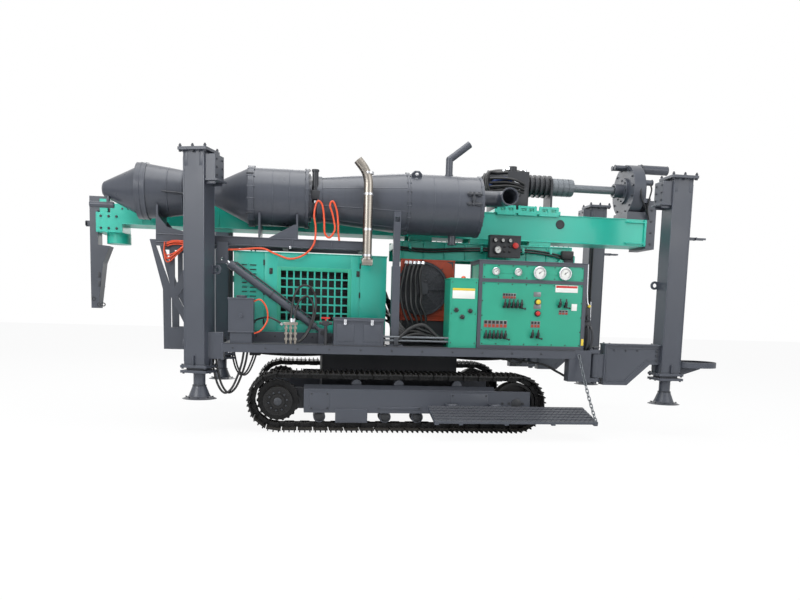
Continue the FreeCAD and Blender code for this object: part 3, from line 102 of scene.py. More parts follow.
def linear(colour):
    """A screen colour in the linear values that shaders take."""
    shares = [c / 255.0 for c in colour]
    return tuple(s / 12.92 if s <= 0.04045 else ((s + 0.055) / 1.055) ** 2.4 for s in shares) + (1.0,)


def shade(colour, factor):
    return tuple(min(255.0, c * factor) for c in colour)


# Materials

def finish_material(
    name, colour, roughness, metallic=0.0, variation=0.08, grain=60.0, bump=0.06,
    dust=0.0, edge=0.0, coat=0.0, streak=0.0, round_edges=0.0,
):
    """A surface with cloudy colour, uneven gloss, fine grain, dust on top and a painted highlight along its
    edges.
    """
    made = bpy.data.materials.new(name)
    made.use_nodes = True
    nodes, links = made.node_tree.nodes, made.node_tree.links
    shader = nodes["Principled BSDF"]
    shader.inputs["Metallic"].default_value = metallic
    shader.inputs["Coat Weight"].default_value = coat
    shader.inputs["Coat Roughness"].default_value = 0.12
    place = nodes.new("ShaderNodeTexCoord")

    cloud = nodes.new("ShaderNodeTexNoise")
    cloud.inputs["Scale"].default_value = 2.6
    cloud.inputs["Detail"].default_value = 5.0
    links.new(place.outputs["Object"], cloud.inputs["Vector"])
    tone = nodes.new("ShaderNodeMix")
    tone.data_type = "RGBA"
    tone.inputs["A"].default_value = linear(shade(colour, 1.0 - variation))
    tone.inputs["B"].default_value = linear(shade(colour, 1.0 + variation))
    links.new(cloud.outputs["Fac"], tone.inputs["Factor"])
    result = tone.outputs["Result"]

    fine = nodes.new("ShaderNodeTexNoise")
    fine.inputs["Scale"].default_value = grain
    fine.inputs["Detail"].default_value = 6.0
    links.new(place.outputs["Object"], fine.inputs["Vector"])

    if streak:
        stretch = nodes.new("ShaderNodeMapping")
        stretch.inputs["Scale"].default_value = (9.0, 9.0, 0.7)
        links.new(place.outputs["Object"], stretch.inputs["Vector"])
        run = nodes.new("ShaderNodeTexNoise")
        run.inputs["Scale"].default_value = 3.0
        run.inputs["Detail"].default_value = 8.0
        links.new(stretch.outputs["Vector"], run.inputs["Vector"])
        limits = nodes.new("ShaderNodeMapRange")
        limits.inputs["From Min"].default_value = 0.52
        limits.inputs["From Max"].default_value = 0.72
        limits.inputs["To Max"].default_value = streak
        links.new(run.outputs["Fac"], limits.inputs["Value"])
        result = mixed(nodes, links, limits.outputs["Result"], result, shade(colour, 0.7))

    rounded = None
    if round_edges:
        rounded = nodes.new("ShaderNodeBevel")
        rounded.samples = 4
        rounded.inputs["Radius"].default_value = round_edges * MM
    # edge sets a painted highlight: lighter paint along edges, where light catches them
    if edge:
        result = painted_edge_highlight(nodes, links, place, rounded, result, colour, edge)
    if dust:
        result = dusted(nodes, links, fine, result, dust)
    links.new(result, shader.inputs["Base Color"])

    gloss = nodes.new("ShaderNodeMapRange")
    gloss.inputs["From Min"].default_value = 0.3
    gloss.inputs["From Max"].default_value = 0.7
    gloss.inputs["To Min"].default_value = max(0.04, roughness - 0.07)
    gloss.inputs["To Max"].default_value = min(1.0, roughness + 0.07)
    links.new(cloud.outputs["Fac"], gloss.inputs["Value"])
    links.new(gloss.outputs["Result"], shader.inputs["Roughness"])

    relief = nodes.new("ShaderNodeBump")
    relief.inputs["Strength"].default_value = bump
    relief.inputs["Distance"].default_value = 0.002
    links.new(fine.outputs["Fac"], relief.inputs["Height"])
    if rounded:
        links.new(rounded.outputs["Normal"], relief.inputs["Normal"])
    links.new(relief.outputs["Normal"], shader.inputs["Normal"])
    return made


def mixed(nodes, links, factor, under, colour):
    """Lays a flat colour over what is under it, by a factor."""
    mix = nodes.new("ShaderNodeMix")
    mix.data_type = "RGBA"
    links.new(factor, mix.inputs["Factor"])
    links.new(under, mix.inputs["A"])
    mix.inputs["B"].default_value = linear(colour)
    return mix.outputs["Result"]


def painted_edge_highlight(nodes, links, place, rounded, under, colour, amount):
    """A painted highlight: lighter paint along edges, where the rounded normal leaves the flat one."""
    flat = nodes.new("ShaderNodeNewGeometry")
    compare = nodes.new("ShaderNodeVectorMath")
    compare.operation = "DOT_PRODUCT"
    links.new(rounded.outputs["Normal"], compare.inputs[0])
    links.new(flat.outputs["Normal"], compare.inputs[1])
    limits = nodes.new("ShaderNodeMapRange")
    limits.inputs["From Min"].default_value = 0.995
    limits.inputs["From Max"].default_value = 0.90
    limits.inputs["To Max"].default_value = amount
    links.new(compare.outputs["Value"], limits.inputs["Value"])
    # a lighter copy of the colour along edges, as a painted highlight
    return mixed(nodes, links, limits.outputs["Result"], under, shade(colour, 1.6))


def dusted(nodes, links, fine, under, amount):
    """A thin veil of dust on faces that look up."""
    facing = nodes.new("ShaderNodeNewGeometry")
    split = nodes.new("ShaderNodeSeparateXYZ")
    links.new(facing.outputs["Normal"], split.inputs["Vector"])
    limits = nodes.new("ShaderNodeMapRange")
    limits.inputs["From Min"].default_value = 0.55
    limits.inputs["From Max"].default_value = 1.0
    limits.inputs["To Max"].default_value = amount
    links.new(split.outputs["Z"], limits.inputs["Value"])
    patch = nodes.new("ShaderNodeMath")
    patch.operation = "MULTIPLY"
    links.new(limits.outputs["Result"], patch.inputs[0])
    links.new(fine.outputs["Fac"], patch.inputs[1])
    return mixed(nodes, links, patch.outputs["Value"], under, DUST)


def brushed_material(name, colour, roughness, along=(1.0, 1.0, 40.0)):
    """Bare steel with fine lines of polish."""
    made = finish_material(name, colour, roughness, metallic=1.0, variation=0.05, grain=90.0, bump=0.03)
    nodes, links = made.node_tree.nodes, made.node_tree.links
    place = nodes.new("ShaderNodeTexCoord")
    stretch = nodes.new("ShaderNodeMapping")
    stretch.inputs["Scale"].default_value = along
    links.new(place.outputs["Object"], stretch.inputs["Vector"])
    lines = nodes.new("ShaderNodeTexNoise")
    lines.inputs["Scale"].default_value = 12.0
    lines.inputs["Detail"].default_value = 4.0
    links.new(stretch.outputs["Vector"], lines.inputs["Vector"])
    gloss = nodes.new("ShaderNodeMapRange")
    gloss.inputs["To Min"].default_value = max(0.05, roughness - 0.1)
    gloss.inputs["To Max"].default_value = roughness + 0.12
    links.new(lines.outputs["Fac"], gloss.inputs["Value"])
    links.new(gloss.outputs["Result"], nodes["Principled BSDF"].inputs["Roughness"])
    return made


# edge sets the strength of a painted highlight along each material's edges
materials = {
    "slate": finish_material(
        "slate_paint", SLATE, 0.40, variation=0.05, dust=0.22, edge=0.55, round_edges=5.0,
    ),
    "slate_dark": finish_material(
        "slate_shadow", SLATE_DARK, 0.5, variation=0.08, dust=0.3, edge=0.3, round_edges=4.0,
    ),
    "vessel": finish_material(
        "vessel_paint", SLATE, 0.34, variation=0.07, grain=24.0,
        bump=0.10, dust=0.12, edge=0.5, streak=0.25, round_edges=4.0,
    ),
    "teal": finish_material(
        "teal_paint", TEAL, 0.36, variation=0.04, dust=0.10, edge=0.35, coat=0.25, round_edges=4.0,
    ),
    "teal_canopy": finish_material(
        "teal_canopy_paint", TEAL_CANOPY, 0.36, variation=0.05,
        dust=0.12, edge=0.35, coat=0.2, round_edges=5.0,
    ),
    "teal_panel": finish_material(
        "teal_panel_paint", TEAL_PANEL, 0.42, variation=0.04,
        dust=0.1, edge=0.3, coat=0.15, round_edges=3.0,
    ),
    "track": finish_material(
        "track_steel", TRACK_BLACK, 0.52, metallic=0.35, variation=0.25,
        grain=45.0, bump=0.35, dust=0.35, edge=0.8, round_edges=4.0,
    ),
    "rubber": finish_material(
        "hose_rubber", RUBBER, 0.42, variation=0.12, grain=120.0, bump=0.12, dust=0.12,
    ),
    "cast": finish_material(
        "black_casting", CAST_BLACK, 0.46, metallic=0.2, variation=0.15,
        grain=70.0, bump=0.25, dust=0.2, edge=0.4, round_edges=4.0,
    ),
    "orange": finish_material(
        "orange_hose", ORANGE_HOSE, 0.38, variation=0.08, grain=80.0, bump=0.05, coat=0.2,
    ),
    "shroud": finish_material(
        "shroud_paint", SHROUD_RED, 0.5, variation=0.12,
        dust=0.25, edge=0.3, streak=0.3, round_edges=3.0,
    ),
    "rod_paint": finish_material("rod_paint", STEEL_GREY, 0.38, metallic=0.3, variation=0.06, bump=0.1),
    "white": finish_material("white_plate", WHITE, 0.35, variation=0.03),
    "plate": finish_material("grey_plate", PLATE_GREY, 0.35, metallic=0.6, variation=0.06),
    "red": finish_material("red_plastic", RED, 0.3, variation=0.05),
    "yellow": finish_material("yellow_plastic", YELLOW, 0.3, variation=0.05),
    "blue": finish_material("blue_sleeve", BLUE, 0.45, variation=0.1),
    "black_plastic": finish_material("black_plastic", (20, 20, 22), 0.28, variation=0.1, bump=0.03),
    "stainless": brushed_material("stainless_steel", STAINLESS, 0.28),
    "chrome": brushed_material("chrome_rod", BRIGHT_STEEL, 0.14, along=(30.0, 30.0, 1.0)),
    "bright": brushed_material("bright_fitting", BRIGHT_STEEL, 0.26),
}

NODE_MATERIALS = {
    "slate": (
        "deck", "rear_leg_near", "rear_leg_far", "rear_jack_near", "rear_jack_far",
        "swing_arm_near", "swing_arm_far", "front_leg_near", "front_leg_far", "front_jack_near",
        "front_jack_far", "tool_box", "grease_tank", "oil_tank", "rest_post", "cabinet_frame",
        "clamp", "jib", "cyclone_frame", "tilt_barrel",
        "track_frame_near", "track_frame_far", "step_board",
    ),
    "vessel": (
        "sample_cone", "sample_body", "catch_drum", "gate_valve",
        "cyclone_cone", "cyclone_drum", "inlet_pipe",
    ),
    "teal": ("mast", "slide_frame", "mast_stand", "carriage", "lift_barrel"),
    "teal_canopy": ("canopy", "canopy_grille"),
    "teal_panel": ("cabinet_panels", "side_cabinet", "gauges"),
    "track": ("track_near", "track_far", "sprocket_near", "sprocket_far", "idler_near", "idler_far"),
    "cast": ("engine", "pumps", "rotary_head", "gauge_panel"),
    # these parts take the shaded copy of the slate paint, as painted shade
    "slate_dark": ("cooler", "undercarriage"),
    "rod_paint": ("drill_string",),
    "stainless": ("exhaust",),
    "chrome": ("lift_rod", "tilt_rod"),
    "black_plastic": ("levers",),
}


def paint_nodes():
    for key, names in NODE_MATERIALS.items():
        for name in names:
            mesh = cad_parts[name].data
            mesh.materials.clear()
            mesh.materials.append(materials[key])


# Making pieces

class Piece:
    """One piece of the scene, gathered from worked shapes given in millimetres."""

    def __init__(self, name, body, material):
        self.name = name
        self.body = body
        self.material = material
        self.mesh = bmesh.new()

    def block(self, xs, ys, zs, rounding=2.0, turn=None):
        """A box with rounded edges; turn is a matrix about the box's own centre."""
        part = bmesh.new()
        bmesh.ops.create_cube(part, size=1.0)
        size = Vector((abs(xs[1] - xs[0]), abs(ys[1] - ys[0]), abs(zs[1] - zs[0]))) * MM
        part.transform(Matrix.Diagonal((*size, 1.0)))
        if rounding:
            bmesh.ops.bevel(
                part, geom=part.edges[:], offset=min(rounding * MM, min(size) * 0.45), segments=2,
                affect="EDGES", profile=0.5,
            )
        middle = at((xs[0] + xs[1]) / 2, (ys[0] + ys[1]) / 2, (zs[0] + zs[1]) / 2)
        part.transform(Matrix.Translation(middle) @ (turn or Matrix.Identity(4)))
        self.take(part)

    def take(self, part):
        mesh = bpy.data.meshes.new("part")
        part.to_mesh(mesh)
        part.free()
        self.mesh.from_mesh(mesh)
        bpy.data.meshes.remove(mesh)

    def bar(self, start, end, radius, end_radius=None, sides=20):
        """A round bar or cone from one place to another."""
        a, b = at(*start), at(*end)
        matrix = Matrix.Translation((a + b) / 2) @ (b - a).to_track_quat("Z", "Y").to_matrix().to_4x4()
        bmesh.ops.create_cone(
            self.mesh, cap_ends=True, segments=sides, radius1=radius * MM,
            radius2=(radius if end_radius is None else end_radius) * MM,
            depth=(b - a).length, matrix=matrix,
        )

    def ball(self, centre, radius, sides=14):
        bmesh.ops.create_uvsphere(
            self.mesh, u_segments=sides, v_segments=sides // 2 + 1, radius=radius * MM,
            matrix=Matrix.Translation(at(*centre)),
        )

    def turned(self, profile, start, direction, sides=48):
        """A surface turned about a line: stations of length along it and radius."""
        line = Vector(direction).normalized()
        across = line.orthogonal().normalized()
        other = line.cross(across)
        rings = []
        for along, radius in profile:
            centre = at(*start) + line * along * MM
            if radius <= 0.0:
                rings.append([self.mesh.verts.new(centre)])
                continue
            rings.append([
                self.mesh.verts.new(centre + (across * math.cos(a) + other * math.sin(a)) * radius * MM)
                for a in (2 * math.pi * i / sides for i in range(sides))
            ])
        for low, high in zip(rings, rings[1:]):
            for i in range(sides):
                j = (i + 1) % sides
                corners = [low[i % len(low)], low[j % len(low)], high[j % len(high)], high[i % len(high)]]
                unique = list(dict.fromkeys(corners))
                if len(unique) > 2:
                    self.mesh.faces.new(unique)

    def cap(self, radius, step, height, top_radius, start, direction, sides):
        """A round cap that narrows above its step."""
        profile = ((0, 0), (0, radius), (step, radius), (height, top_radius), (height, 0))
        self.turned(profile, start, direction, sides)

    def ring(self, centre, direction, radius, thickness, sides=32, around=8):
        """A closed round hoop."""
        profile = []
        for i in range(around + 1):
            a = 2 * math.pi * i / around
            profile.append((thickness * math.sin(a), radius + thickness * math.cos(a)))
        self.turned(profile, centre, direction, sides)

    def plate(self, outline, low, high, axis="y"):
        """A flat plate whose outline is drawn across an axis, between two values on it."""
        def corner(a, b, c):
            return {"y": at(a, c, b), "x": at(c, a, b), "z": at(a, b, c)}[axis]
        near = [self.mesh.verts.new(corner(a, b, low)) for a, b in outline]
        far = [self.mesh.verts.new(corner(a, b, high)) for a, b in outline]
        self.mesh.faces.new(near)
        self.mesh.faces.new(list(reversed(far)))
        count = len(outline)
        for i in range(count):
            j = (i + 1) % count
            self.mesh.faces.new([near[j], near[i], far[i], far[j]])

    def pipe(self, points, radius, sides=12, steps=6):
        """A round hose along a smooth line through places."""
        line = smooth_line([at(*p) for p in points], steps)
        sweep(self.mesh, line, radius * MM, sides)

    def bolts(self, centre, direction, radius, count, size=12.0, height=9.0, phase=0.0):
        """Hexagon heads on a circle, standing along a direction."""
        line = Vector(direction).normalized()
        across = line.orthogonal().normalized()
        other = line.cross(across)
        for i in range(count):
            a = phase + 2 * math.pi * i / count
            spot = Vector(centre) + (across * math.cos(a) + other * math.sin(a)) * radius
            self.bolt(spot, line, size, height)

    def bolt(self, spot, direction, size=12.0, height=9.0):
        spot, line = Vector(spot), Vector(direction).normalized()
        self.bar(spot - line * 1.0, spot + line * 2.0, size * 1.15, sides=14)
        self.bar(spot + line * 2.0, spot + line * height, size, sides=6)

    def done(self, smooth=38.0):
        bmesh.ops.remove_doubles(self.mesh, verts=self.mesh.verts[:], dist=1e-6)
        bmesh.ops.recalc_face_normals(self.mesh, faces=self.mesh.faces[:])
        mesh = bpy.data.meshes.new(self.name)
        self.mesh.to_mesh(mesh)
        self.mesh.free()
        mesh.materials.append(materials[self.material])
        mesh.polygons.foreach_set("use_smooth", [True] * len(mesh.polygons))
        mesh.set_sharp_from_angle(angle=math.radians(smooth))
        made = bpy.data.objects.new(self.name, mesh)
        bpy.context.scene.collection.objects.link(made)
        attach(made, self.body)
        return made


def smooth_line(points, steps):
    """Places along a smooth line through the given ones."""
    ends = [points[0] * 2 - points[1]] + list(points) + [points[-1] * 2 - points[-2]]
    line = []
    for a, b, c, d in zip(ends, ends[1:], ends[2:], ends[3:]):
        for i in range(steps):
            t = i / steps
            line.append(0.5 * (
                2 * b + (c - a) * t + (2 * a - 5 * b + 4 * c - d) * t * t + (3 * b - a - 3 * c + d) * t ** 3
            ))
    return line + [points[-1]]


def sweep(mesh, line, radius, sides):
    """A tube with closed ends along a line of places."""
    normal = (line[1] - line[0]).orthogonal().normalized()
    rings = []
    for i, spot in enumerate(line):
        before, after = line[max(i - 1, 0)], line[min(i + 1, len(line) - 1)]
        tangent = (after - before).normalized()
        normal = (normal - tangent * normal.dot(tangent)).normalized()
        side = tangent.cross(normal)
        rings.append([
            mesh.verts.new(spot + (normal * math.cos(a) + side * math.sin(a)) * radius)
            for a in (2 * math.pi * k / sides for k in range(sides))
        ])
    for low, high in zip(rings, rings[1:]):
        for k in range(sides):
            j = (k + 1) % sides
            mesh.faces.new([low[k], low[j], high[j], high[k]])
    mesh.faces.new(list(reversed(rings[0])))
    mesh.faces.new(rings[-1])


# Both sides of the machine: near is the control side, and far mirrors it
SIDES = (("near", 1), ("far", -1))


def mirror(side, y):
    return y if side > 0 else -y


def mirrored(side, low, high):
    """A range of y on one side of the machine, in rising order."""
    return sorted((mirror(side, low), mirror(side, high)))


def outward(y, depth):
    """The range of y from a face to a depth beyond it, in rising order."""
    return sorted((y, y + depth))


# Tracks

TRACK_AXLES_X = (-1221.0, IDLER_X)
TRACK_Y = -930.0
AXLE_Z = 310.0
SHOE_R = 290.0
SHOES = 43
SHOE_PITCH = (2 * (TRACK_AXLES_X[1] - TRACK_AXLES_X[0]) + 2 * math.pi * SHOE_R) / SHOES
LINK_R = 252.0


def track_point(along, radius):
    """A point on the track's loop with the direction of travel there, for a length and a radius."""
    rear, front = TRACK_AXLES_X
    straight = front - rear
    bend = math.pi * SHOE_R
    along = along % (2 * straight + 2 * bend)
    if along < straight:
        return Vector((rear + along, 0, AXLE_Z + radius)), 0.0
    along -= straight
    if along < bend:
        angle = along / SHOE_R
        return Vector((front + radius * math.sin(angle), 0, AXLE_Z + radius * math.cos(angle))), angle
    along -= bend
    if along < straight:
        return Vector((front - along, 0, AXLE_Z - radius)), math.pi
    along -= straight
    angle = math.pi + along / SHOE_R
    return Vector((rear + radius * math.sin(angle), 0, AXLE_Z + radius * math.cos(angle))), angle


def track_belt(name, side):
    """The shoes, links and pins of one track, in the outline of its CAD loop."""
    shoes = Piece("shoes_" + name, "chassis", "track")
    middle = mirror(side, TRACK_Y)

    def local_block(shoe, share, radius, length, ys, depth):
        spot, angle = track_point((shoe + share) * SHOE_PITCH, radius)
        turn = Matrix.Rotation(angle, 4, "Y")
        shoes.block(
            (spot.x - length / 2, spot.x + length / 2), (middle + ys[0], middle + ys[1]),
            (spot.z - depth / 2, spot.z + depth / 2), 0.0, turn,
        )

    for shoe in range(SHOES):
        local_block(shoe, 0.5, 282.0, SHOE_PITCH * 0.93, (-198, 198), 14.0)
        for share in (0.17, 0.5, 0.83):
            local_block(shoe, share, 298.0, 12.0, (-197, 197), 22.0)
        for ys in ((-78, -50), (50, 78)):
            local_block(shoe, 0.5, LINK_R, SHOE_PITCH * 0.62, ys, 50.0)
        for ys in ((-50, -30), (30, 50)):
            local_block(shoe, 1.0, LINK_R, SHOE_PITCH * 0.62, ys, 46.0)
        spot, _ = track_point((shoe + 0.5) * SHOE_PITCH, LINK_R)
        shoes.bar((spot.x, middle - 84, spot.z), (spot.x, middle + 84, spot.z), 15.0, sides=10)
        for share in (0.33, 0.67):
            for y in (-100, 100):
                spot, _ = track_point((shoe + share) * SHOE_PITCH, 268.0)
                outer, _ = track_point((shoe + share) * SHOE_PITCH, 277.0)
                shoes.bar((spot.x, middle + y, spot.z), (outer.x, middle + y, outer.z), 11.0, sides=6)
    made = shoes.done(smooth=30.0)
    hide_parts("track_" + name)


def track_frames():
    """Plates, bolts, rollers and hub caps on the beams within the tracks."""
    for name, side in SIDES:
        trim = Piece("beam_trim_" + name, "chassis", "slate")
        bolts = Piece("beam_bolts_" + name, "chassis", "cast")
        face = -1060.0
        for x0, x1, z0, z1 in ((-905, -700, 225, 405), (-215, 250, 230, 262), (560, 960, 225, 405)):
            ys = mirrored(side, face - 5, face + 1)
            trim.block((x0, x1), ys, (z0, z1), 3)
            for x in (x0 + 22, x1 - 22):
                for z in (z0 + 16, z1 - 16):
                    bolts.bolt((x, mirror(side, face - 5), z), (0, -side, 0), 8, 8)
        for x in (-800.0, -460.0, -120.0, 220.0, 560.0, 900.0):
            bolts.cap(46, 14, 18, 40, (x, mirror(side, -1005), 148), (0, -side, 0), 24)
        for x in (1120.0, 1190.0, 1340.0):
            bolts.bolt((x, mirror(side, face), AXLE_Z), (0, -side, 0), 13, 10)
        bolts.cap(52, 12, 16, 44, (IDLER_X, mirror(side, face), AXLE_Z), (0, -side, 0), 32)
        trim.block((-960, 1030), mirrored(side, -1064, -1056), (428, 440), 2)
        trim.done()
        bolts.done()
        hub = Piece("drive_bolts_" + name, "chassis", "slate_dark")
        hub.bolts((TRACK_AXLES_X[0], mirror(side, -1090), AXLE_Z), (0, -side, 0), 92, 10, 9, 9)
        hub.cap(40, 10, 14, 34, (TRACK_AXLES_X[0], mirror(side, -1104), AXLE_Z), (0, -side, 0), 24)
        hub.done()


# Jack legs

LEG_Y = -1072.0
REAR_LEG_X = -1988.0
REAR_LEG_TURN = -20.0
FRONT_LEG_X = 2919.0
HINGE_X = 2110
HINGE_Y = -1070


def leg(name, body, x, side, turn, bracket, jack_body):
    """The trim of one jack leg: gussets, bolts, seams, fittings and the foot's collar."""
    y = mirror(side, LEG_Y)
    about = Matrix.Translation(at(x, y, 0)) @ Matrix.Rotation(math.radians(turn * side), 4, "Z")
    about = about @ Matrix.Translation(-at(x, y, 0))
    trim = Piece("leg_trim_" + name, body, "slate")
    for i in (-1, 1):
        for j in (-1, 1):
            trim.block((x + i * 103, x + i * 109), (y + j * 60, y + j * 100), (2560, 2700), 1)
            trim.block((x + i * 60, x + i * 100), (y + j * 103, y + j * 109), (2560, 2700), 1)
    for i in (-1, 1):
        trim.block((x + i * 95, x + i * 109), (y - 110, y - 104), (700, 2640), 1)
        trim.block((x + i * 95, x + i * 109), (y + 104, y + 110), (700, 2640), 1)
        trim.block((x - 4, x + 4), (y + i * 107, y + i * 132), (665, 760), 1)
        trim.block((x + i * 107, x + i * 132), (y - 4, y + 4), (665, 760), 1)
    edge = x + bracket * 107.5
    for dy in (-70, 75):
        trim.block((edge, edge + bracket * 100), (y + dy - 4, y + dy + 4), (2395, 2426), 1)
    place(trim, about)
    trim.done()
    bolts = Piece("leg_bolts_" + name, body, "slate_dark")
    for i in (-1, 1):
        for j in (-1, 0, 1):
            bolts.bolt((x + i * 118, y + j * 118, 665), (0, 0, 1), 11, 12)
            bolts.bolt((x + i * 118, y + j * 118, 640), (0, 0, -1), 11, 12)
    for i in (-1, 0, 1):
        for j in (-1, 1):
            bolts.turned(
                ((0, 0), (0, 15), (5, 15), (5, 9), (17, 9), (20, 5), (20, 0)),
                (x + i * 127, y + j * 127, 2740), (0, 0, 1), 12,
            )
            bolts.turned(
                ((0, 0), (0, 14), (16, 14), (16, 0)), (x + i * 127, y + j * 127, 2700), (0, 0, -1), 6,
            )
    for dy in (-55, 60):
        for z in (2480, 2555, 2630):
            bolts.bolt((edge + bracket * 105, y + dy, z), (bracket, 0, 0), 10, 8)
    place(bolts, about)
    bolts.done()
    lines = Piece("leg_lines_" + name, body, "rubber")
    front = y + side * 112
    for dx, heights in ((20, (2300, 1900, 1300, 800, 700)), (50, (2300, 1850, 1250, 790, 700))):
        lines.pipe([
            (edge - bracket * (dx - 6 * (i % 2)), front + side * 12 * (i % 2), z)
            for i, z in enumerate(heights)
        ], 9, 10, 8)
    place(lines, about)
    lines.done()
    fittings = Piece("leg_fittings_" + name, body, "bright")
    for dx, z in ((20, 2310), (50, 2310), (20, 690), (50, 690)):
        fittings.bar(
            (edge - bracket * dx, front, z - 22), (edge - bracket * dx, front, z + 22), 12, sides=6,
        )
    place(fittings, about)
    fittings.done()
    foot = Piece("foot_collar_" + name, jack_body, "slate_dark")
    foot.ring((x, y, 586), (0, 0, 1), 66, 7)
    foot.ring((x, y, 462), (0, 0, 1), 64, 6)
    for i in range(8):
        angle = math.radians(45 * i + 22.5)
        foot.bolt((x + 128 * math.cos(angle), y + 128 * math.sin(angle), 349), (0, 0, 1), 8, 7)
    for i in (-1, 1):
        for j in (-1, 0, 1):
            foot.bolt((x + i * 112, y + j * 112, 590), (0, 0, -1), 10, 10)
    place(foot, about)
    foot.done()


def place(piece, matrix):
    bmesh.ops.transform(piece.mesh, matrix=matrix, verts=piece.mesh.verts[:])


def legs():
    for name, side in SIDES:
        leg("rear_" + name, "chassis", REAR_LEG_X, side, REAR_LEG_TURN, 1, "rear_jack_" + name)
        leg("front_" + name, "front_arm_" + name, FRONT_LEG_X, side, 0.0, -1, "front_jack_" + name)
        arm = Piece("arm_trim_" + name, "front_arm_" + name, "slate")
        for ys in ((-1141, -1134), (-1006, -999)):
            ys = mirrored(side, *ys)
            arm.plate(
                (
                    (2206, 570), (2430, 570), (2660, 790), (2790, 790),
                    (2790, 800), (2655, 800), (2425, 580), (2216, 580),
                ),
                *ys,
            )
            arm.block((2206, 2216), ys, (580, 930), 2)
            arm.block((2216, 2790), ys, (918, 930), 2)
        arm.done()
        bolts = Piece("arm_bolts_" + name, "front_arm_" + name, "slate_dark")
        for y in (-1140, -1000):
            out = (0, -side, 0) if y < -1070 else (0, side, 0)
            for z in (800, 850, 900):
                bolts.bolt((2770, mirror(side, y), z), out, 12, 10)
            for x in (2290, 2420, 2550):
                bolts.bolt((x, mirror(side, y), 900), out, 8, 7)
        for x in (2230, 2780):
            for dy in (-1145, -995):
                bolts.bolt((x, mirror(side, dy), 970), (0, 0, 1), 9, 8)
        bolts.done()
        shelf = Piece("shelf_trim_" + name, "front_arm_" + name, "slate_dark")
        shelf.ring((3239.5, mirror(side, LEG_Y), 789), (0, 0, 1), 217, 7, 48)
        shelf.ring((3239.5, mirror(side, LEG_Y), 739), (0, 0, 1), 219, 5, 48)
        shelf.done()
        pin = Piece("hinge_caps_" + name, "chassis", "slate_dark")
        pin.cap(42, 10, 16, 34, (HINGE_X, mirror(side, HINGE_Y), 918), (0, 0, 1), 32)
        pin.bolts((HINGE_X, mirror(side, HINGE_Y), 934), (0, 0, 1), 26, 4, 6, 6)
        pin.done()


# Engine side

def canopy_side(side):
    """Door leaves, louvres with dark strips of painted shade in their openings, latches and hinges on one
    side of the canopy.
    """
    name = "near" if side > 0 else "far"
    face = -820.0 if side > 0 else 600.0
    out = -1 if side > 0 else 1
    skin_y = outward(face, out * 5)
    skin = Piece("canopy_doors_" + name, "chassis", "teal_canopy")
    slots = Piece("canopy_slots_" + name, "chassis", "rubber")
    latches = Piece("canopy_latches_" + name, "chassis", "black_plastic")
    skin.block((-1672, -1382), skin_y, (1012, 1796), 2)
    skin.block((-392, -128), skin_y, (1012, 1796), 2)
    if side > 0:
        for xs, zs in (
            ((-1370, -1240), (1012, 1796)), ((-492, -404), (1012, 1796)),
            ((-1240, -492), (1012, 1092)), ((-1240, -492), (1659, 1796)),
        ):
            skin.block(xs, skin_y, zs, 2)
    else:
        skin.block((-1370, -892), skin_y, (1012, 1796), 2)
        skin.block((-880, -404), skin_y, (1012, 1796), 2)
    columns = ((-1599, -1549), (-1519, -1457)) if side > 0 else (
        (-1300, -1120), (-1080, -930), (-820, -640), (-600, -450), (-1599, -1457),
    )
    for x0, x1 in columns:
        for i in range(8):
            z = 1677 - i * 45
            # a dark strip under each slat: painted shade for the louvre's opening
            slots.block((x0, x1), sorted((face + out * 4, face + out * 7)), (z - 11, z + 7), 0)
            top = face + out * 5
            skin.plate(
                ((top, z + 12), (top + out * 12, z + 2), (top + out * 12, z), (top, z + 4)),
                x0 - 3, x1 + 3, axis="x",
            )
    for x in (-1308, -418):
        z = 1618
        latches.block((x - 17, x + 17), sorted((face + out * 5, face + out * 12)), (z - 30, z + 30), 4)
        latches.block((x - 8, x + 8), sorted((face + out * 12, face + out * 26)), (z - 24, z + 10), 5)
    for x in (-1380, -1376, -398):
        for z in (1100, 1400, 1700):
            latches.bar((x, face + out * 8, z - 28), (x, face + out * 8, z + 28), 6, sides=10)
    skin.done()
    slots.done()
    latches.done()


def canopy_rest():
    """Both sides, the roof, the grille's border, the core behind it, bolts and lifting eyes."""
    for side in (1, -1):
        canopy_side(side)
    roof = Piece("canopy_roof", "chassis", "teal_canopy")
    roof.block((-1688, -112), (-828, 608), (1800, 1811), 4)
    roof.block((-1400, -640), (-560, 360), (1811, 1823), 6)
    for x in (-1600, -200):
        roof.block((x - 20, x + 20), (-700, 480), (1811, 1819), 3)
    roof.block((-1686, -1680), (-700, -120), (1040, 1780), 3)
    roof.block((-1686, -1680), (-100, 480), (1040, 1780), 3)
    roof.done()
    border = Piece("grille_border", "chassis", "teal_panel")
    border.block((-1246, -1208), (-828, -819), (1085, 1666), 3)
    border.block((-523, -485), (-828, -819), (1085, 1666), 3)
    border.block((-1208, -523), (-828, -819), (1085, 1123), 3)
    border.block((-1208, -523), (-828, -819), (1628, 1666), 3)
    border.done()
    core = Piece("radiator_core", "chassis", "rubber")
    core.block((-1300, -460), (-640, -560), (1060, 1700), 4)
    for i in range(16):
        z = 1085 + i * 38
        core.block((-1290, -470), (-646, -640), (z, z + 14), 0)
    core.done()
    bolts = Piece("canopy_bolts", "chassis", "cast")
    for x in range(-1640, -100, 190):
        bolts.bolt((x, -820, 955), (0, -1, 0), 8, 7)
        bolts.bolt((x, 600, 955), (0, 1, 0), 8, 7)
    for y in (-640, -330, 0, 310):
        bolts.bolt((-1680, y, 955), (-1, 0, 0), 8, 7)
    bolts.done()
    eyes = Piece("lifting_eyes", "chassis", "slate_dark")
    for x in (-1500, -300):
        for y in (-600, 380):
            eyes.ring((x, y, 1838), (0, 1, 0), 22, 7, 20)
    eyes.done()


EXHAUST_X = -341
EXHAUST_Y = -950


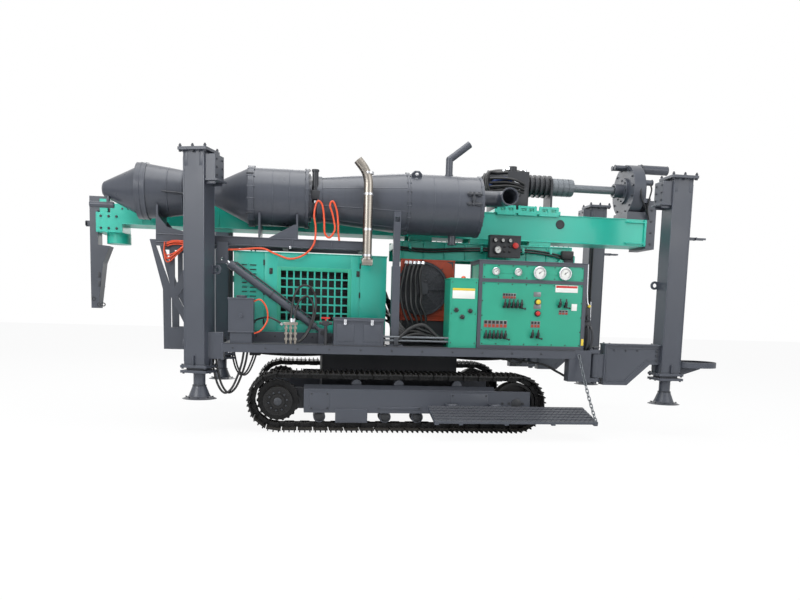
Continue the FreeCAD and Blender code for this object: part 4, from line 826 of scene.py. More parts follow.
def exhaust_trim():
    """A smooth stack with a bend, its mouth and its bands."""
    stack = Piece("exhaust_stack", "chassis", "stainless")
    stack.block((-396, -286), (-1005, -895), (1700, 1760), 6)
    stack.cap(60, 14, 14, 48, (EXHAUST_X, EXHAUST_Y, 1760), (0, 0, 1), 40)
    points = [at(EXHAUST_X, EXHAUST_Y, 1766 + i * 60) for i in range(13)]
    for i in range(1, 11):
        angle = math.radians(6.4 * i)
        points.append(at(
            EXHAUST_X - 130 * (1 - math.cos(angle)), EXHAUST_Y, 2500 + 130 * math.sin(angle) + 8 * i,
        ))
    last = points[-1] - points[-2]
    points.append(points[-1] + last.normalized() * 0.06)
    sweep(stack.mesh, points, 47 * MM, 40)
    made = stack.done()
    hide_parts("exhaust")
    mouth = Piece("exhaust_mouth", "chassis", "rubber")
    ring_at(mouth, points[-1] + last.normalized() * 0.0004, last, 42, 1.2, 40)
    mouth.done()
    bands = Piece("exhaust_bands", "chassis", "bright")
    for z in (1790, 2050, 2400, 2610):
        bands.turned(((0, 48), (0, 52), (22, 52), (22, 48)), (EXHAUST_X, EXHAUST_Y, z), (0, 0, 1), 32)
        bands.bar((EXHAUST_X, -1000, z + 11), (EXHAUST_X, -1016, z + 11), 6, sides=6)
    bands.bolts((EXHAUST_X, EXHAUST_Y, 1760), (0, 0, 1), 56, 6, 7, 9)
    bands.done()


def deck_boxes():
    """Latches, lids, caps and hoses of what stands along the deck's near edge."""
    box = Piece("tool_box_trim", "chassis", "slate")
    box.block((-676, -168), (-1142, -1136), (1132, 1152), 2)
    box.block((-640, -470), (-1136, -1129), (930, 1100), 3)
    box.block((-374, -204), (-1136, -1129), (930, 1100), 3)
    box.done()
    latch = Piece("tool_box_latches", "chassis", "bright")
    for x in (-560, -290):
        latch.block((x - 14, x + 14), (-1146, -1138), (1096, 1150), 3)
        latch.ring((x, -1149, 1108), (0, 1, 0), 12, 3, 16)
    latch.done()
    tank = Piece("grease_tank_trim", "chassis", "slate")
    tank.block((-1712, -1458), (-1136, -919), (1318, 1334), 3)
    tank.block((-1712, -1458), (-1136, -919), (994, 1006), 3)
    tank.turned(((0, 46), (6, 52), (20, 52), (26, 44), (26, 0)), (-1585, -1027.5, 1334), (0, 0, 1), 24)
    tank.done()
    stack = Piece("valve_stack", "chassis", "stainless")
    for x in (-1145, -1100, -1055):
        stack.bar((x, -1090, 892), (x, -1090, 1080), 13)
        for z in (930, 985, 1040):
            stack.bar((x, -1090, z), (x, -1090, z + 22), 20, sides=6)
    stack.block((-1170, -1030), (-1112, -1068), (1078, 1108), 5)
    stack.done()
    red = Piece("red_valve_handle", "chassis", "red")
    red.block((-800, -708), (-1116, -1104), (1150, 1166), 4)
    red.bar((-753, -1110, 1130), (-753, -1110, 1152), 9)
    red.done()
    stem = Piece("valve_body", "chassis", "cast")
    stem.block((-786, -722), (-1130, -1090), (1080, 1132), 6)
    stem.bar((-753, -1110, 890), (-753, -1110, 1082), 17)
    stem.bar((-820, -1110, 1106), (-690, -1110, 1106), 15)
    stem.done()
    ribbed = Piece("ribbed_hoses", "chassis", "rubber")
    for points in (
        (
            (-20, -1070, 960), (110, -1085, 1075), (250, -1070, 1110),
            (380, -1050, 1010), (470, -1040, 930),
        ),
        ((-20, -1000, 930), (120, -1010, 1000), (260, -1000, 1010), (400, -990, 950), (500, -960, 925)),
        ((-20, -930, 925), (120, -930, 960), (300, -930, 1000), (480, -900, 960)),
    ):
        line = smooth_line([at(*p) for p in points], 12)
        sweep(ribbed.mesh, line, 19 * MM, 14)
        for spot, after in zip(line[1:-1:1], line[2::1]):
            ring_at(ribbed, spot, after - spot, 20.5, 3.0)
    ribbed.done()
    tie = Piece("hose_ties", "chassis", "slate_dark")
    for x, y in ((-20, -1070), (-20, -1000), (-20, -930)):
        tie.block((x - 40, x + 6), (y - 26, y + 26), (890, 985), 5)
    tie.done()


def ring_at(piece, spot, direction, radius, thickness, sides=14):
    matrix = Matrix.Translation(spot) @ direction.to_track_quat("Z", "Y").to_matrix().to_4x4()
    bmesh.ops.create_cone(
        piece.mesh, cap_ends=True, segments=sides, radius1=radius * MM, radius2=radius * MM,
        depth=thickness * MM, matrix=matrix,
    )


FAN_X = 300
FAN_Z = 1500


def bay_hoses():
    """The hoses between the pumps and the valves, and the cooler's fan guard and shroud."""
    hoses = Piece("pump_hoses", "chassis", "rubber")
    ends = Piece("pump_hose_ends", "chassis", "bright")
    starts = (
        (-325, -190, 1455), (-325, -110, 1455), (-135, -190, 1420),
        (-135, -110, 1420), (-200, -245, 1260),
        (-200, -245, 1180), (-120, -245, 1300), (-60, -150, 1230),
    )
    for i, start in enumerate(starts):
        x = 560 + 26 * i
        y = -700 + 22 * i
        lift = 60 + 18 * (i % 3)
        points = (
            start, (start[0] + 40, start[1] - 60, start[2] + (lift if i < 4 else 10)),
            (-20, -560 - 16 * i, 1330 - 45 * i),
            (60, -700 - 10 * i, 1100 - 22 * i),
            (260, -760 + 8 * i, 935 + 14 * (i % 4)),
            (x, y, 925 + 12 * (i % 3)),
        )
        hoses.pipe(points, 14 if i % 2 else 17, 12, 10)
        a = Vector(start)
        b = Vector(points[1])
        ends.bar(tuple(a), tuple(a + (b - a).normalized() * 45), 21, sides=6)
    hoses.done()
    ends.done()
    fan = Piece("fan_guard", "chassis", "cast")
    for radius in (90, 130, 170, 210, 250, 284):
        fan.ring((FAN_X, -606, FAN_Z), (0, 1, 0), radius, 3, 48, 6)
    for i in range(8):
        angle = math.radians(45 * i + 22.5)
        fan.bar(
            (FAN_X + 70 * math.cos(angle), -606, FAN_Z + 70 * math.sin(angle)),
            (FAN_X + 284 * math.cos(angle), -606, FAN_Z + 284 * math.sin(angle)), 3, sides=6,
        )
    fan.bolts((FAN_X, -600, FAN_Z), (0, -1, 0), 300, 8, 7, 6)
    fan.done()
    panel = Piece("shroud_trim", "chassis", "shroud")
    outline = [
        (FAN_X + 292 * math.cos(math.radians(a)), FAN_Z + 292 * math.sin(math.radians(a)))
        for a in range(0, 361, 10)
    ]
    rim = []
    for angle in range(0, 360, 10):
        c, n = math.cos(math.radians(angle)), math.sin(math.radians(angle))
        reach = min(340.0 / max(abs(c), 1e-6), 300.0 / max(abs(n), 1e-6))
        rim.append((FAN_X + c * min(reach, 420.0), FAN_Z + n * min(reach, 420.0)))
    for i in range(36):
        j = (i + 1) % 36
        a, b = outline[i], outline[j]
        c, d = rim[j], rim[i]
        c = (min(max(c[0], 62), 655), min(max(c[1], 1160), 1808))
        d = (min(max(d[0], 62), 655), min(max(d[1], 1160), 1808))
        panel.plate((a, b, c, d), -577, -571)
    panel.block((62, 655), (-577, -571), (1156, 1215), 1)
    for x in (66, 646):
        panel.block((x - 6, x + 6), (-580, -571), (1160, 1808), 2)
    panel.block((60, 660), (-580, -571), (1796, 1812), 2)
    panel.block((60, 660), (-580, -571), (1153, 1168), 2)
    panel.bolts((FAN_X, -572, FAN_Z), (0, -1, 0), 318, 12, 6, 5)
    panel.done()


# Control side

CABINET_FACE_Y = -1092.0


def gauge(piece_face, piece_ring, piece_marks, x, z, face_y, radius):
    """A dial: bezel, white face, marks and needle."""
    piece_ring.turned(
        ((0, radius * 0.86), (0, radius), (12, radius + 2), (16, radius - 2), (16, radius * 0.84)),
        (x, face_y, z), (0, -1, 0), 40,
    )
    piece_face.turned(
        ((0, 0), (0, radius * 0.86), (6, radius * 0.86), (6, 0)), (x, face_y, z), (0, -1, 0), 40,
    )
    for i in range(19):
        angle = math.radians(-225 + 15 * i)
        a, b = radius * 0.66, radius * 0.8
        piece_marks.bar(
            (x + a * math.cos(angle), face_y - 7, z - a * math.sin(angle)),
            (x + b * math.cos(angle), face_y - 7, z - b * math.sin(angle)),
            0.9 if i % 3 else 1.6, sides=4,
        )
    lean = math.radians(35)
    piece_marks.bar(
        (x - radius * 0.2 * math.cos(lean), face_y - 8.5, z - radius * 0.2 * math.sin(lean)),
        (x + radius * 0.6 * math.cos(lean), face_y - 8.5, z + radius * 0.6 * math.sin(lean)),
        2.4, 0.8, sides=6,
    )
    piece_marks.bar((x, face_y - 6, z), (x, face_y - 11, z), radius * 0.09, sides=16)


def cabinets():
    """Dials, blank plates, knobs, screws, seams and the hand pump on the cabinets."""
    face = CABINET_FACE_Y
    faces = Piece("gauge_faces", "chassis", "white")
    rings = Piece("gauge_rings", "chassis", "bright")
    marks = Piece("gauge_marks", "chassis", "black_plastic")
    for x, radius in ((975.0, 38.0), (1210.0, 38.0), (1440.0, 66.0), (1715.0, 66.0)):
        gauge(faces, rings, marks, x, 1681.0, face - 20, radius)
    faces.done()
    rings.done()
    marks.done()
    plates = Piece("blank_plates", "chassis", "plate")
    for x0, x1, z0, z1 in (
        (1061, 1203, 1407, 1464), (872, 1121, 1106, 1182),
        (1392, 1470, 1436, 1485), (1398, 1476, 1312, 1361),
        (1375, 1476, 1115, 1185), (1672, 1773, 1258, 1307),
    ):
        plates.block((x0, x1), (face - 3, face + 1), (z0, z1), 1)
    plates.done()
    symbols = Piece("plate_symbols", "chassis", "black_plastic")
    tints = Piece("plate_tints", "chassis", "shroud")
    for x0, x1, z0, z1, count in (
        (1061, 1203, 1407, 1464, 5), (872, 1121, 1106, 1182, 6),
        (1375, 1476, 1115, 1185, 3), (1672, 1773, 1258, 1307, 3),
    ):
        pitch = (x1 - x0) / count
        for i in range(count):
            x = x0 + (i + 0.5) * pitch
            middle = (z0 + z1) / 2
            symbols.block(
                (x - pitch * 0.34, x + pitch * 0.34), (face - 5, face - 2), (middle + 3, z1 - 5), 0,
            )
            tints.block(
                (x - pitch * 0.34, x + pitch * 0.34), (face - 5, face - 2), (z0 + 5, middle - 3), 0,
            )
    symbols.done()
    tints.done()
    white = Piece("white_plates", "chassis", "white")
    white.block((1625, 1869), (face - 3, face + 1), (1490, 1564), 1)
    white.block((1810, 1869), (face - 3, face + 1), (1303, 1374), 1)
    white.block((534, 768), (-1093, -1089), (1394, 1498), 1)
    white.done()
    strip = Piece("warning_strip", "chassis", "yellow")
    strip.block((534, 768), (-1095, -1092), (1476, 1499), 1)
    strip.block((1932, 1958), (-1102, -1099), (940, 1010), 1)
    strip.done()
    band = Piece("red_strip", "chassis", "red")
    band.block((1632, 1862), (face - 5, face - 2), (1536, 1558), 1)
    band.cap(22, 20, 26, 14, (1442, face - 10, 1264), (0, -1, 0), 24)
    band.done()
    knob = Piece("yellow_knob", "chassis", "yellow")
    knob.cap(24, 22, 28, 16, (1440, face - 10, 1383), (0, -1, 0), 24)
    knob.done()
    lamp = Piece("orange_lamp", "chassis", "orange")
    lamp.turned(((0, 0), (0, 26), (18, 24), (30, 14), (34, 0)), (675, -945, 1598), (0, 0, 1), 24)
    lamp.done()
    black = Piece("knobs_and_boots", "chassis", "black_plastic")
    for x, z in ((1442, 1264), (1440, 1383)):
        black.cap(34, 10, 12, 28, (x, face, z), (0, -1, 0), 24)
    for x, z in ((576, 1276), (641, 1206), (723, 1270)):
        black.cap(24, 16, 22, 16, (x, -1090, z), (0, -1, 0), 24)
    black.done()
    screws = Piece("panel_screws", "chassis", "cast")
    for x in range(860, 1930, 150):
        for z in (940, 1556, 1625, 1742):
            screws.turned(((0, 0), (0, 7), (3, 6), (4, 0)), (x, face, z), (0, -1, 0), 10)
    for x in (850, 1915):
        for z in (1080, 1230, 1380):
            screws.turned(((0, 0), (0, 7), (3, 6), (4, 0)), (x, face, z), (0, -1, 0), 10)
    for z in (940, 1240, 1560):
        for x in (530, 780):
            screws.turned(((0, 0), (0, 6), (3, 5), (4, 0)), (x, -1090, z), (0, -1, 0), 10)
    screws.done()
    seams = Piece("cabinet_trim", "chassis", "slate")
    seams.block((796, 1968), (-1106, -694), (1786, 1797), 3)
    seams.block((1962, 1968), (-1090, -710), (900, 1786), 2)
    seams.done()
    cap = Piece("side_cabinet_trim", "chassis", "teal_panel")
    cap.block((504, 803), (-1096, -795), (1590, 1602), 3)
    cap.block((516, 524), (-1094, -1089), (905, 1580), 1)
    cap.block((788, 796), (-1094, -1089), (905, 1580), 1)
    cap.done()
    pump = Piece("hand_pump_rod", "chassis", "bright")
    pump.pipe(
        (
            (1990, -1030, 1795), (1992, -1032, 1700), (1994, -1034, 1500),
            (2004, -1036, 1400), (2022, -1040, 1360),
        ),
        11, 14, 8,
    )
    pump.bar((2052, -1010, 1420), (2056, -1012, 1210), 7)
    pump.done()
    corner = Piece("corner_valve", "chassis", "cast")
    corner.block((1968, 2050), (-1060, -980), (900, 1190), 8)
    corner.block((1978, 2040), (-1050, -990), (1190, 1340), 8)
    corner.bar((2052, -1010, 1405), (2052, -1010, 1440), 14, 9, sides=14)
    corner.bar((2008, -1060, 1230), (2008, -1090, 1230), 20)
    corner.pipe(
        (
            (2000, -1064, 1150), (2004, -1100, 1120), (2010, -1104, 1020),
            (2004, -1090, 930), (1990, -1060, 880),
        ),
        12, 12, 8,
    )
    corner.pipe(
        (
            (2034, -1064, 1140), (2046, -1104, 1100), (2050, -1108, 1000),
            (2040, -1090, 920), (2020, -1060, 880),
        ),
        12, 12, 8,
    )
    corner.done()
    elbow = Piece("pump_elbow", "chassis", "yellow")
    elbow.bar((2012, -1044, 1366), (2034, -1044, 1348), 16, sides=8)
    elbow.done()


LEVER_ROWS = (
    (5, 1060.0, 1280.0, 1350.0), (6, 870.0, 1120.0, 1030.0),
    (2, 1360.0, 1480.0, 1045.0), (2, 1640.0, 1770.0, 1370.0),
)


def lever_rows():
    """The banks of control handles: each has a boot at its foot and a bottle-shaped grip."""
    levers = Piece("lever_grips", "chassis", "black_plastic")
    face = CABINET_FACE_Y
    for count, x0, x1, z in LEVER_ROWS:
        step = (x1 - x0) / count
        for i in range(count):
            x = x0 + (i + 0.5) * step
            foot = z - 26
            levers.block((x - 15, x + 15), (face - 12, face + 2), (foot - 14, foot + 14), 4)
            levers.turned(
                ((0, 0), (0, 13), (10, 11), (14, 8), (26, 7), (26, 0)),
                (x, face - 8, foot), (0, -0.9, 0.42), 16,
            )
            levers.turned(
                (
                    (0, 0), (0, 11), (8, 14), (40, 16), (52, 15),
                    (60, 10), (64, 8), (80, 8), (86, 5), (88, 0),
                ),
                (x, face - 32, foot - 8), (0, -0.12, 1.0), 16,
            )
        last = x1 - 0.5 * step
        levers.bar((last, face - 30, z - 34), (last + 34, face - 40, z - 42), 7, sides=10)
        levers.ball((last + 38, face - 41, z - 43), 11)
    made = levers.done()
    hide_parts("levers")


def canopy_hoses():
    """The loop of hoses before the grille and the bundle that falls from the mast past the cooler."""
    loop = Piece("grille_hoses", "chassis", "rubber")
    loop.pipe((
        (-1100, -1000, 1110), (-1090, -960, 1250), (-1060, -910, 1400),
        (-980, -880, 1480), (-890, -885, 1450), (-850, -900, 1330),
        (-860, -930, 1180), (-900, -980, 1060), (-960, -1040, 960), (-1020, -1060, 905),
    ), 11, 12, 10)
    loop.pipe((
        (-1070, -1010, 1110), (-1050, -975, 1230), (-1010, -930, 1330),
        (-940, -905, 1370), (-880, -915, 1300), (-880, -945, 1160),
        (-930, -1000, 1030), (-1000, -1050, 930), (-1060, -1070, 905),
    ), 10, 12, 10)
    loop.pipe(
        (
            (-1180, -1080, 1080), (-1240, -1070, 1120), (-1330, -1040, 1150),
            (-1440, -1000, 1120), (-1462, -1000, 1090),
        ),
        10, 12, 8,
    )
    for i in range(5):
        x = 120 + 46 * i
        loop.pipe((
            (x, -620 - 12 * i, 960), (x + 30, -660 - 10 * i, 1090 + 20 * i),
            (x - 30, -650 - 8 * i, 1260 + 18 * i), (x - 60 + 10 * i, -630, 1440),
            (x - 40, -625, 1600 + 10 * i), (x, -600, 1780),
        ), 13 + i % 3, 12, 8)
    for i in range(6):
        z = 925 + 26 * (i % 3)
        y = -640 - 50 * i
        loop.pipe((
            (20, y, z), (150, y - 10, z + 30 + 14 * i), (300, y, z + 46 + 20 * (i % 2)),
            (430, y + 14, z + 20), (505, y + 10, z - 4),
        ), 15 + i % 4, 12, 8)
    loop.done()
    ties = Piece("grille_hose_ends", "chassis", "bright")
    for spot, after in (
        ((-1100, -1000, 1104), (-1098, -990, 1140)), ((-1070, -1010, 1104), (-1064, -1000, 1140)),
        ((-1180, -1080, 1076), (-1200, -1077, 1092)),
    ):
        ties.bar(spot, after, 17, sides=6)
    for i in range(5):
        x = 120 + 46 * i
        ties.bar((x - 4, -602, 1758), (x, -600, 1788), 19, sides=6)
    ties.done()
    bars = Piece("bay_rails", "chassis", "rod_paint")
    for y, z in ((-1080, 985), (-1075, 948)):
        bars.bar((-168, y, z), (505, y, z), 11, sides=14)
    bars.done()
    grease = Piece("grease_hose", "chassis", "orange")
    grease.pipe(
        (
            (-1470, -1040, 1300), (-1400, -1050, 1320), (-1340, -1060, 1240),
            (-1330, -1070, 1120), (-1390, -1080, 1020), (-1460, -1080, 985),
        ),
        8, 12, 8,
    )
    grease.done()


def oil_tank_trim():
    """Straps, the filler's cap and the sight gauge."""
    tank = Piece("oil_tank_trim", "chassis", "slate")
    for x in (560, 1240):
        tank.block((x - 22, x + 22), (694, 1106), (892, 1506), 3)
    tank.cap(62, 24, 30, 52, (420, 900, 1500), (0, 0, 1), 32)
    tank.done()
    glass = Piece("sight_gauge", "chassis", "bright")
    glass.block((880, 916), (1100, 1112), (1000, 1300), 4)
    glass.done()


# Mast

def mast_trim():
    """Trim of the stand, the sliding frame with its gauge panel, and the mast with its feed chains."""
    pivot = Piece("pivot_caps", "chassis", "slate_dark")
    for y, out in ((-276, -1), (276, 1)):
        pivot.cap(58, 10, 16, 48, (2060, y, 1885), (0, out, 0), 32)
        pivot.bolts((2060, y + out * 12, 1885), (0, out, 0), 38, 5, 7, 7)
    pivot.done()
    ribs = Piece("stand_ribs", "chassis", "teal")
    for side in (-1, 1):
        y = side * 276
        ribs.block((1640, 1652), outward(y, side * 34), (900, 1480), 2)
        ribs.block((1790, 1802), outward(y, side * 34), (900, 1600), 2)
    ribs.done()
    slide = Piece("slide_trim", "slide_frame", "teal")
    for side in (-1, 1):
        y = side * 235
        ys = outward(y, side * 14)
        for x in range(120, 2060, 240):
            slide.block((x, x + 10), ys, (1850, 2020), 2)
        slide.block((40, 2100), outward(y, side * 18), (2026, 2038), 2)
        slide.block((40, 2100), outward(y, side * 18), (1836, 1848), 2)
        for x in (330, 1720):
            slide.plate(
                ((x, 1838), (x + 60, 1838), (x + 45, 1798), (x + 15, 1798)),
                *sorted((y - side * 2, y + side * 12)),
            )
    slide.done()
    hooks = Piece("slide_hooks", "slide_frame", "teal")
    for side in (-1, 1):
        y = side * 249
        for x in (190, 1010, 1500, 1830):
            hooks.block((x, x + 26), outward(y, side * 34), (1930, 1952), 3)
            hooks.block((x, x + 26), sorted((y + side * 26, y + side * 34)), (1930, 2010), 3)
    hooks.done()
    bolts = Piece("slide_bolts", "slide_frame", "teal_panel")
    for side in (-1, 1):
        for x in range(90, 2080, 60):
            bolts.bolt((x, side * 224, 2044), (0, 0, 1), 7, 6)
    bolts.done()
    hose = Piece("slide_hoses", "slide_frame", "rubber")
    for dz, dy in ((0, 0), (-26, 6)):
        hose.pipe((
            (60, -262 - dy, 1966 + dz), (420, -264 - dy, 1950 + dz),
            (800, -262 - dy, 1975 + dz), (1258, -268 - dy, 1990 + dz),
            (1620, -266 - dy, 1985 + dz), (1900, -270 - dy, 1950 + dz), (2090, -276 - dy, 1890 + dz),
        ), 11, 12, 10)
    hose.block((1960, 2100), (-330, -262), (1900, 1990), 10)
    hose.done()
    panel = Piece("panel_faces", "slide_frame", "white")
    rims = Piece("panel_rims", "slide_frame", "cast")
    marks = Piece("panel_marks", "slide_frame", "black_plastic")
    for x in (1130.0, 1215.0, 1300.0):
        gauge(panel, rims, marks, x, 2065.0, -474.0, 24.0)
    gauge(panel, rims, marks, 1160.0, 1960.0, -476.0, 46.0)
    panel.done()
    for x, z in ((1240, 1945), (1300, 1945), (1240, 2000), (1300, 2000)):
        marks.cap(14, 12, 16, 9, (x, -462, z), (0, -1, 0), 16)
    marks.done()
    rims.block((1075, 1418), (-466, -461), (1884, 1892), 2)
    rims.block((1075, 1418), (-466, -461), (2108, 2116), 2)
    rims.done()
    stop = Piece("stop_button", "slide_frame", "red")
    stop.turned(((0, 0), (0, 30), (8, 34), (20, 30), (24, 0)), (1360, -470, 2010), (0, -1, 0), 28)
    stop.done()
    body = Piece("mast_trim", "mast", "teal")
    for side in (-1, 1):
        y = side * 200
        ys = outward(y, side * 8)
        body.block((-2880, 2760), ys, (2392, 2402), 2)
        body.block((-2880, 2760), ys, (2090, 2100), 2)
        for x in (-2700, -1900, -1100, -300):
            body.block((x, x + 12), ys, (2100, 2392), 1)
        body.block((2990, 3014), outward(y, side * 22), (2092, 2398), 2)
        body.plate(((-2900, 2300), (-2600, 2400), (-2880, 2400)), *ys)
        for z in (2118, 2356):
            body.block((2760, 2992), outward(y, side * 24), (z, z + 14), 2)
        body.block((1700, 2300), outward(y, side * 3), (2096, 2108), 1)
    body.done()
    dark = Piece("mast_plugs", "mast", "cast")
    for side in (-1, 1):
        y = side * 200
        dark.turned(
            ((0, 0), (0, 52), (6, 52), (8, 44), (8, 36), (4, 34), (4, 0)),
            (1963, y, 2300), (0, side, 0), 32,
        )
        for x in range(-2780, -2960, -60):
            dark.bolt((x, y, 2250), (0, side, 0), 9, 8)
        for x in (-3120, -3040, -2960):
            for z in (2040, 2165):
                dark.bolt((x, y, z), (0, side, 0), 12, 10)
    dark.bar((-2650, 0, 2352), (2700, 0, 2352), 20, sides=12)
    dark.done()
    feed = Piece("feed_chain", "mast", "track")
    for y in (-70, 70):
        for i in range(104):
            x = -2640 + i * 51
            feed.block((x, x + 40), (y - 12, y + 12), (2350, 2366), 0)
            feed.bar((x + 45, y - 16, 2358), (x + 45, y + 16, 2358), 7, sides=6)
    feed.done(smooth=25.0)


def jib_trim():
    """Pin caps, rings, lugs and an end block of the jib."""
    trim = Piece("jib_trim", "jib", "slate_dark")
    for side in (-1, 1):
        y = side * 90
        trim.cap(46, 12, 16, 36, (-3110, y, 2310), (0, side, 0), 28)
        for x, z in ((-3236, 1290), (-3180, 1230)):
            trim.turned(((0, 12), (0, 22), (5, 22), (5, 12)), (x, y, z), (0, side, 0), 20)
        for z in (1420, 1520):
            trim.block((-3185, -3160), outward(y, side * 6), (z, z + 60), 4)
    trim.block((-3323, -3312), (-42, 42), (2078, 2122), 3)
    trim.done()


# Head and clamp

HEAD_AXIS_Z = 2750


def head_trim():
    """Bolts, the manifold, its hoses and sleeves, and rings on the string."""
    guide = Piece("guide_bolts", "head", "teal_panel")
    for x0, x1 in ((1201.0, 1417.0), (1448.0, 1666.0), (1697.0, 1929.0)):
        third = (x1 - x0) / 7
        for side in (-1, 1):
            for start in (x0 + third, x0 + 4 * third):
                guide.bolt((start + third, side * 218, 2442), (0, side, 0), 9, 12)
            for x in (x0 + 14, (x0 + x1) / 2, x1 - 14):
                guide.bolt((x, side * 219, 2485), (0, 0, 1), 6, 6)
    guide.done()
    hoses = Piece("head_hoses", "head", "rubber")
    blue = Piece("head_sleeves", "head", "blue")
    ends = Piece("head_fittings", "head", "bright")
    manifold = Piece("head_manifold", "head", "cast")
    manifold.block((1178, 1262), (-190, 190), (2440, 2560), 8)
    for i in range(7):
        y = -168 + 56 * i
        lift = 2905 - 16 * abs(3 - i)
        hoses.pipe((
            (1225, y, 2575), (1170, y, 2600), (1105, y * 1.05, 2660 + 8 * (i % 3)),
            (1080 + 10 * (i % 2), y * 1.05, 2760),
            (1110, y, 2850), (1200, y * 0.95, lift - 6), (1330, y * 0.85, lift + 8),
            (1450, y * 0.75, lift + 14), (1540, y * 0.7, 2890),
        ), 14 if i % 2 else 17, 12, 10)
        ends.bar((1225, y, 2556), (1225, y, 2600), 21, sides=6)
        ends.bar((1540, y * 0.7, 2876), (1540, y * 0.7, 2908), 19, sides=6)
    for i in range(4):
        for y in (-196 - 14 * (i % 2), 196 + 14 * (i % 2)):
            hoses.pipe((
                (1110, y * 0.9, 2640 + 46 * i), (1200, y, 2650 + 44 * i), (1320, y * 1.02, 2662 + 40 * i),
                (1430, y, 2660 + 34 * i), (1520, y * 0.86, 2640 + 30 * i),
            ), 14, 12, 8)
    for y in (-150, 150):
        blue.pipe(
            ((1110, y, 2700), (1180, y * 1.08, 2760), (1300, y * 1.1, 2790), (1400, y * 1.06, 2760)),
            20, 12, 10,
        )
        ends.pipe(
            (
                (1400, y * 1.06, 2760), (1450, y * 1.12, 2740),
                (1470, y * 1.14, 2690), (1465, y * 1.12, 2640),
            ),
            13, 12, 8,
        )
        ends.bar((1400, y * 1.06, 2762), (1376, y * 1.07, 2770), 24, sides=6)
        manifold.bar((1465, y * 1.12, 2600), (1465, y * 1.12, 2645), 22, sides=6)
    for x, z in ((1290, 2905), (1350, 2930), (1500, 2915), (1540, 2900)):
        for y in (-110, -40, 40, 110):
            ends.bar((x, y, z - 30), (x, y, z), 15, sides=6)
    manifold.block((1380, 1560), (-176, -160), (2480, 2700), 6)
    manifold.block((1380, 1560), (160, 176), (2480, 2700), 6)
    for side in (-1, 1):
        manifold.turned(((0, 0), (0, 84), (14, 84), (14, 0)), (1120, side * 85, 2802), (-1, 0, 0), 32)
        manifold.bolts((1330, side * 85, 2802), (-1, 0, 0), 70, 6, 8, 9)
    for i in range(4):
        x = 1640 + i * 60
        manifold.bolts((x, 0, HEAD_AXIS_Z), (1, 0, 0), 112, 10, 6, 8)
    hoses.done()
    blue.done()
    ends.done()
    manifold.done()
    string = Piece("sleeve_rings", "head", "rod_paint")
    for x in (1902, 1967, 2033, 2098):
        string.bolts((x + 22, 0, HEAD_AXIS_Z), (0, 0, 1), 0.1, 1, 1, 1)
        string.ring((x, 0, HEAD_AXIS_Z), (1, 0, 0), 98, 4, 40)
    string.ring((2400, 0, HEAD_AXIS_Z), (1, 0, 0), 45, 3, 28)
    string.done()


def clamp_trim():
    """Bolts, rings and hoses of the clamp at the mast's foot."""
    trim = Piece("clamp_bolts", "mast", "slate_dark")
    trim.bolts((2800, 0, HEAD_AXIS_Z), (-1, 0, 0), 262, 14, 12, 11)
    trim.bolts((2940, 0, HEAD_AXIS_Z), (1, 0, 0), 262, 14, 12, 11)
    trim.bolts((2775, 0, HEAD_AXIS_Z), (-1, 0, 0), 118, 8, 10, 9)
    trim.ring((3300, -60, 3000), (1, 0, 0), 50, 5, 28)
    trim.ring((2975, -60, 3000), (1, 0, 0), 54, 6, 28)
    for y in (-60.0, 20.0):
        trim.ring((2652, y, 3010), (1, 0, 0), 26, 4, 20)
        trim.ring((2780, y, 3010), (1, 0, 0), 26, 4, 20)
    for side in (-1, 1):
        for z in (2120, 2250, 2380, 2510):
            trim.bolt((3071, side * 215, z), (0, side, 0), 11, 10)
        trim.ring((2866, side * 250, 2815), (1, 0, 0), 33, 5, 20)
        trim.ring((3028, side * 250, 2815), (1, 0, 0), 33, 5, 20)
    for z in (2150, 2300, 2450, 2560):
        for y in (-170, 170):
            trim.bolt((3126, y, z), (1, 0, 0), 12, 10)
    trim.done()
    hoses = Piece("clamp_hoses", "mast", "rubber")
    for side in (-1, 1):
        y = side * 250
        hoses.pipe(
            (
                (2900, y + side * 20, 2800), (2880, y + side * 45, 2720), (2900, y + side * 40, 2620),
                (2960, y + side * 10, 2540), (3020, y - side * 20, 2440),
            ),
            9, 10, 8,
        )
        hoses.pipe(
            (
                (3000, y + side * 20, 2800), (3010, y + side * 46, 2730), (2990, y + side * 40, 2620),
                (2990, y + side * 10, 2520), (3030, y - side * 20, 2400),
            ),
            9, 10, 8,
        )
    hoses.done()


# Cyclone

CYCLONE_Y = -560
CYCLONE_Z = 2390
CONE_RIB_R = (226, 312)


def on_axis(x):
    """A place on the cyclone line's axis."""
    return x, CYCLONE_Y, CYCLONE_Z


def around(x, radius, y, z):
    """A place at a radius from the line's axis, for a direction across it."""
    return x, CYCLONE_Y + radius * y, CYCLONE_Z + radius * z


def line_flange(piece, x, radius, count):
    """Bolts on both faces of a flange 24 mm thick."""
    piece.bolts(on_axis(x), (-1, 0, 0), radius, count, 10, 10)
    piece.bolts(on_axis(x + 24), (1, 0, 0), radius, count, 10, 10)


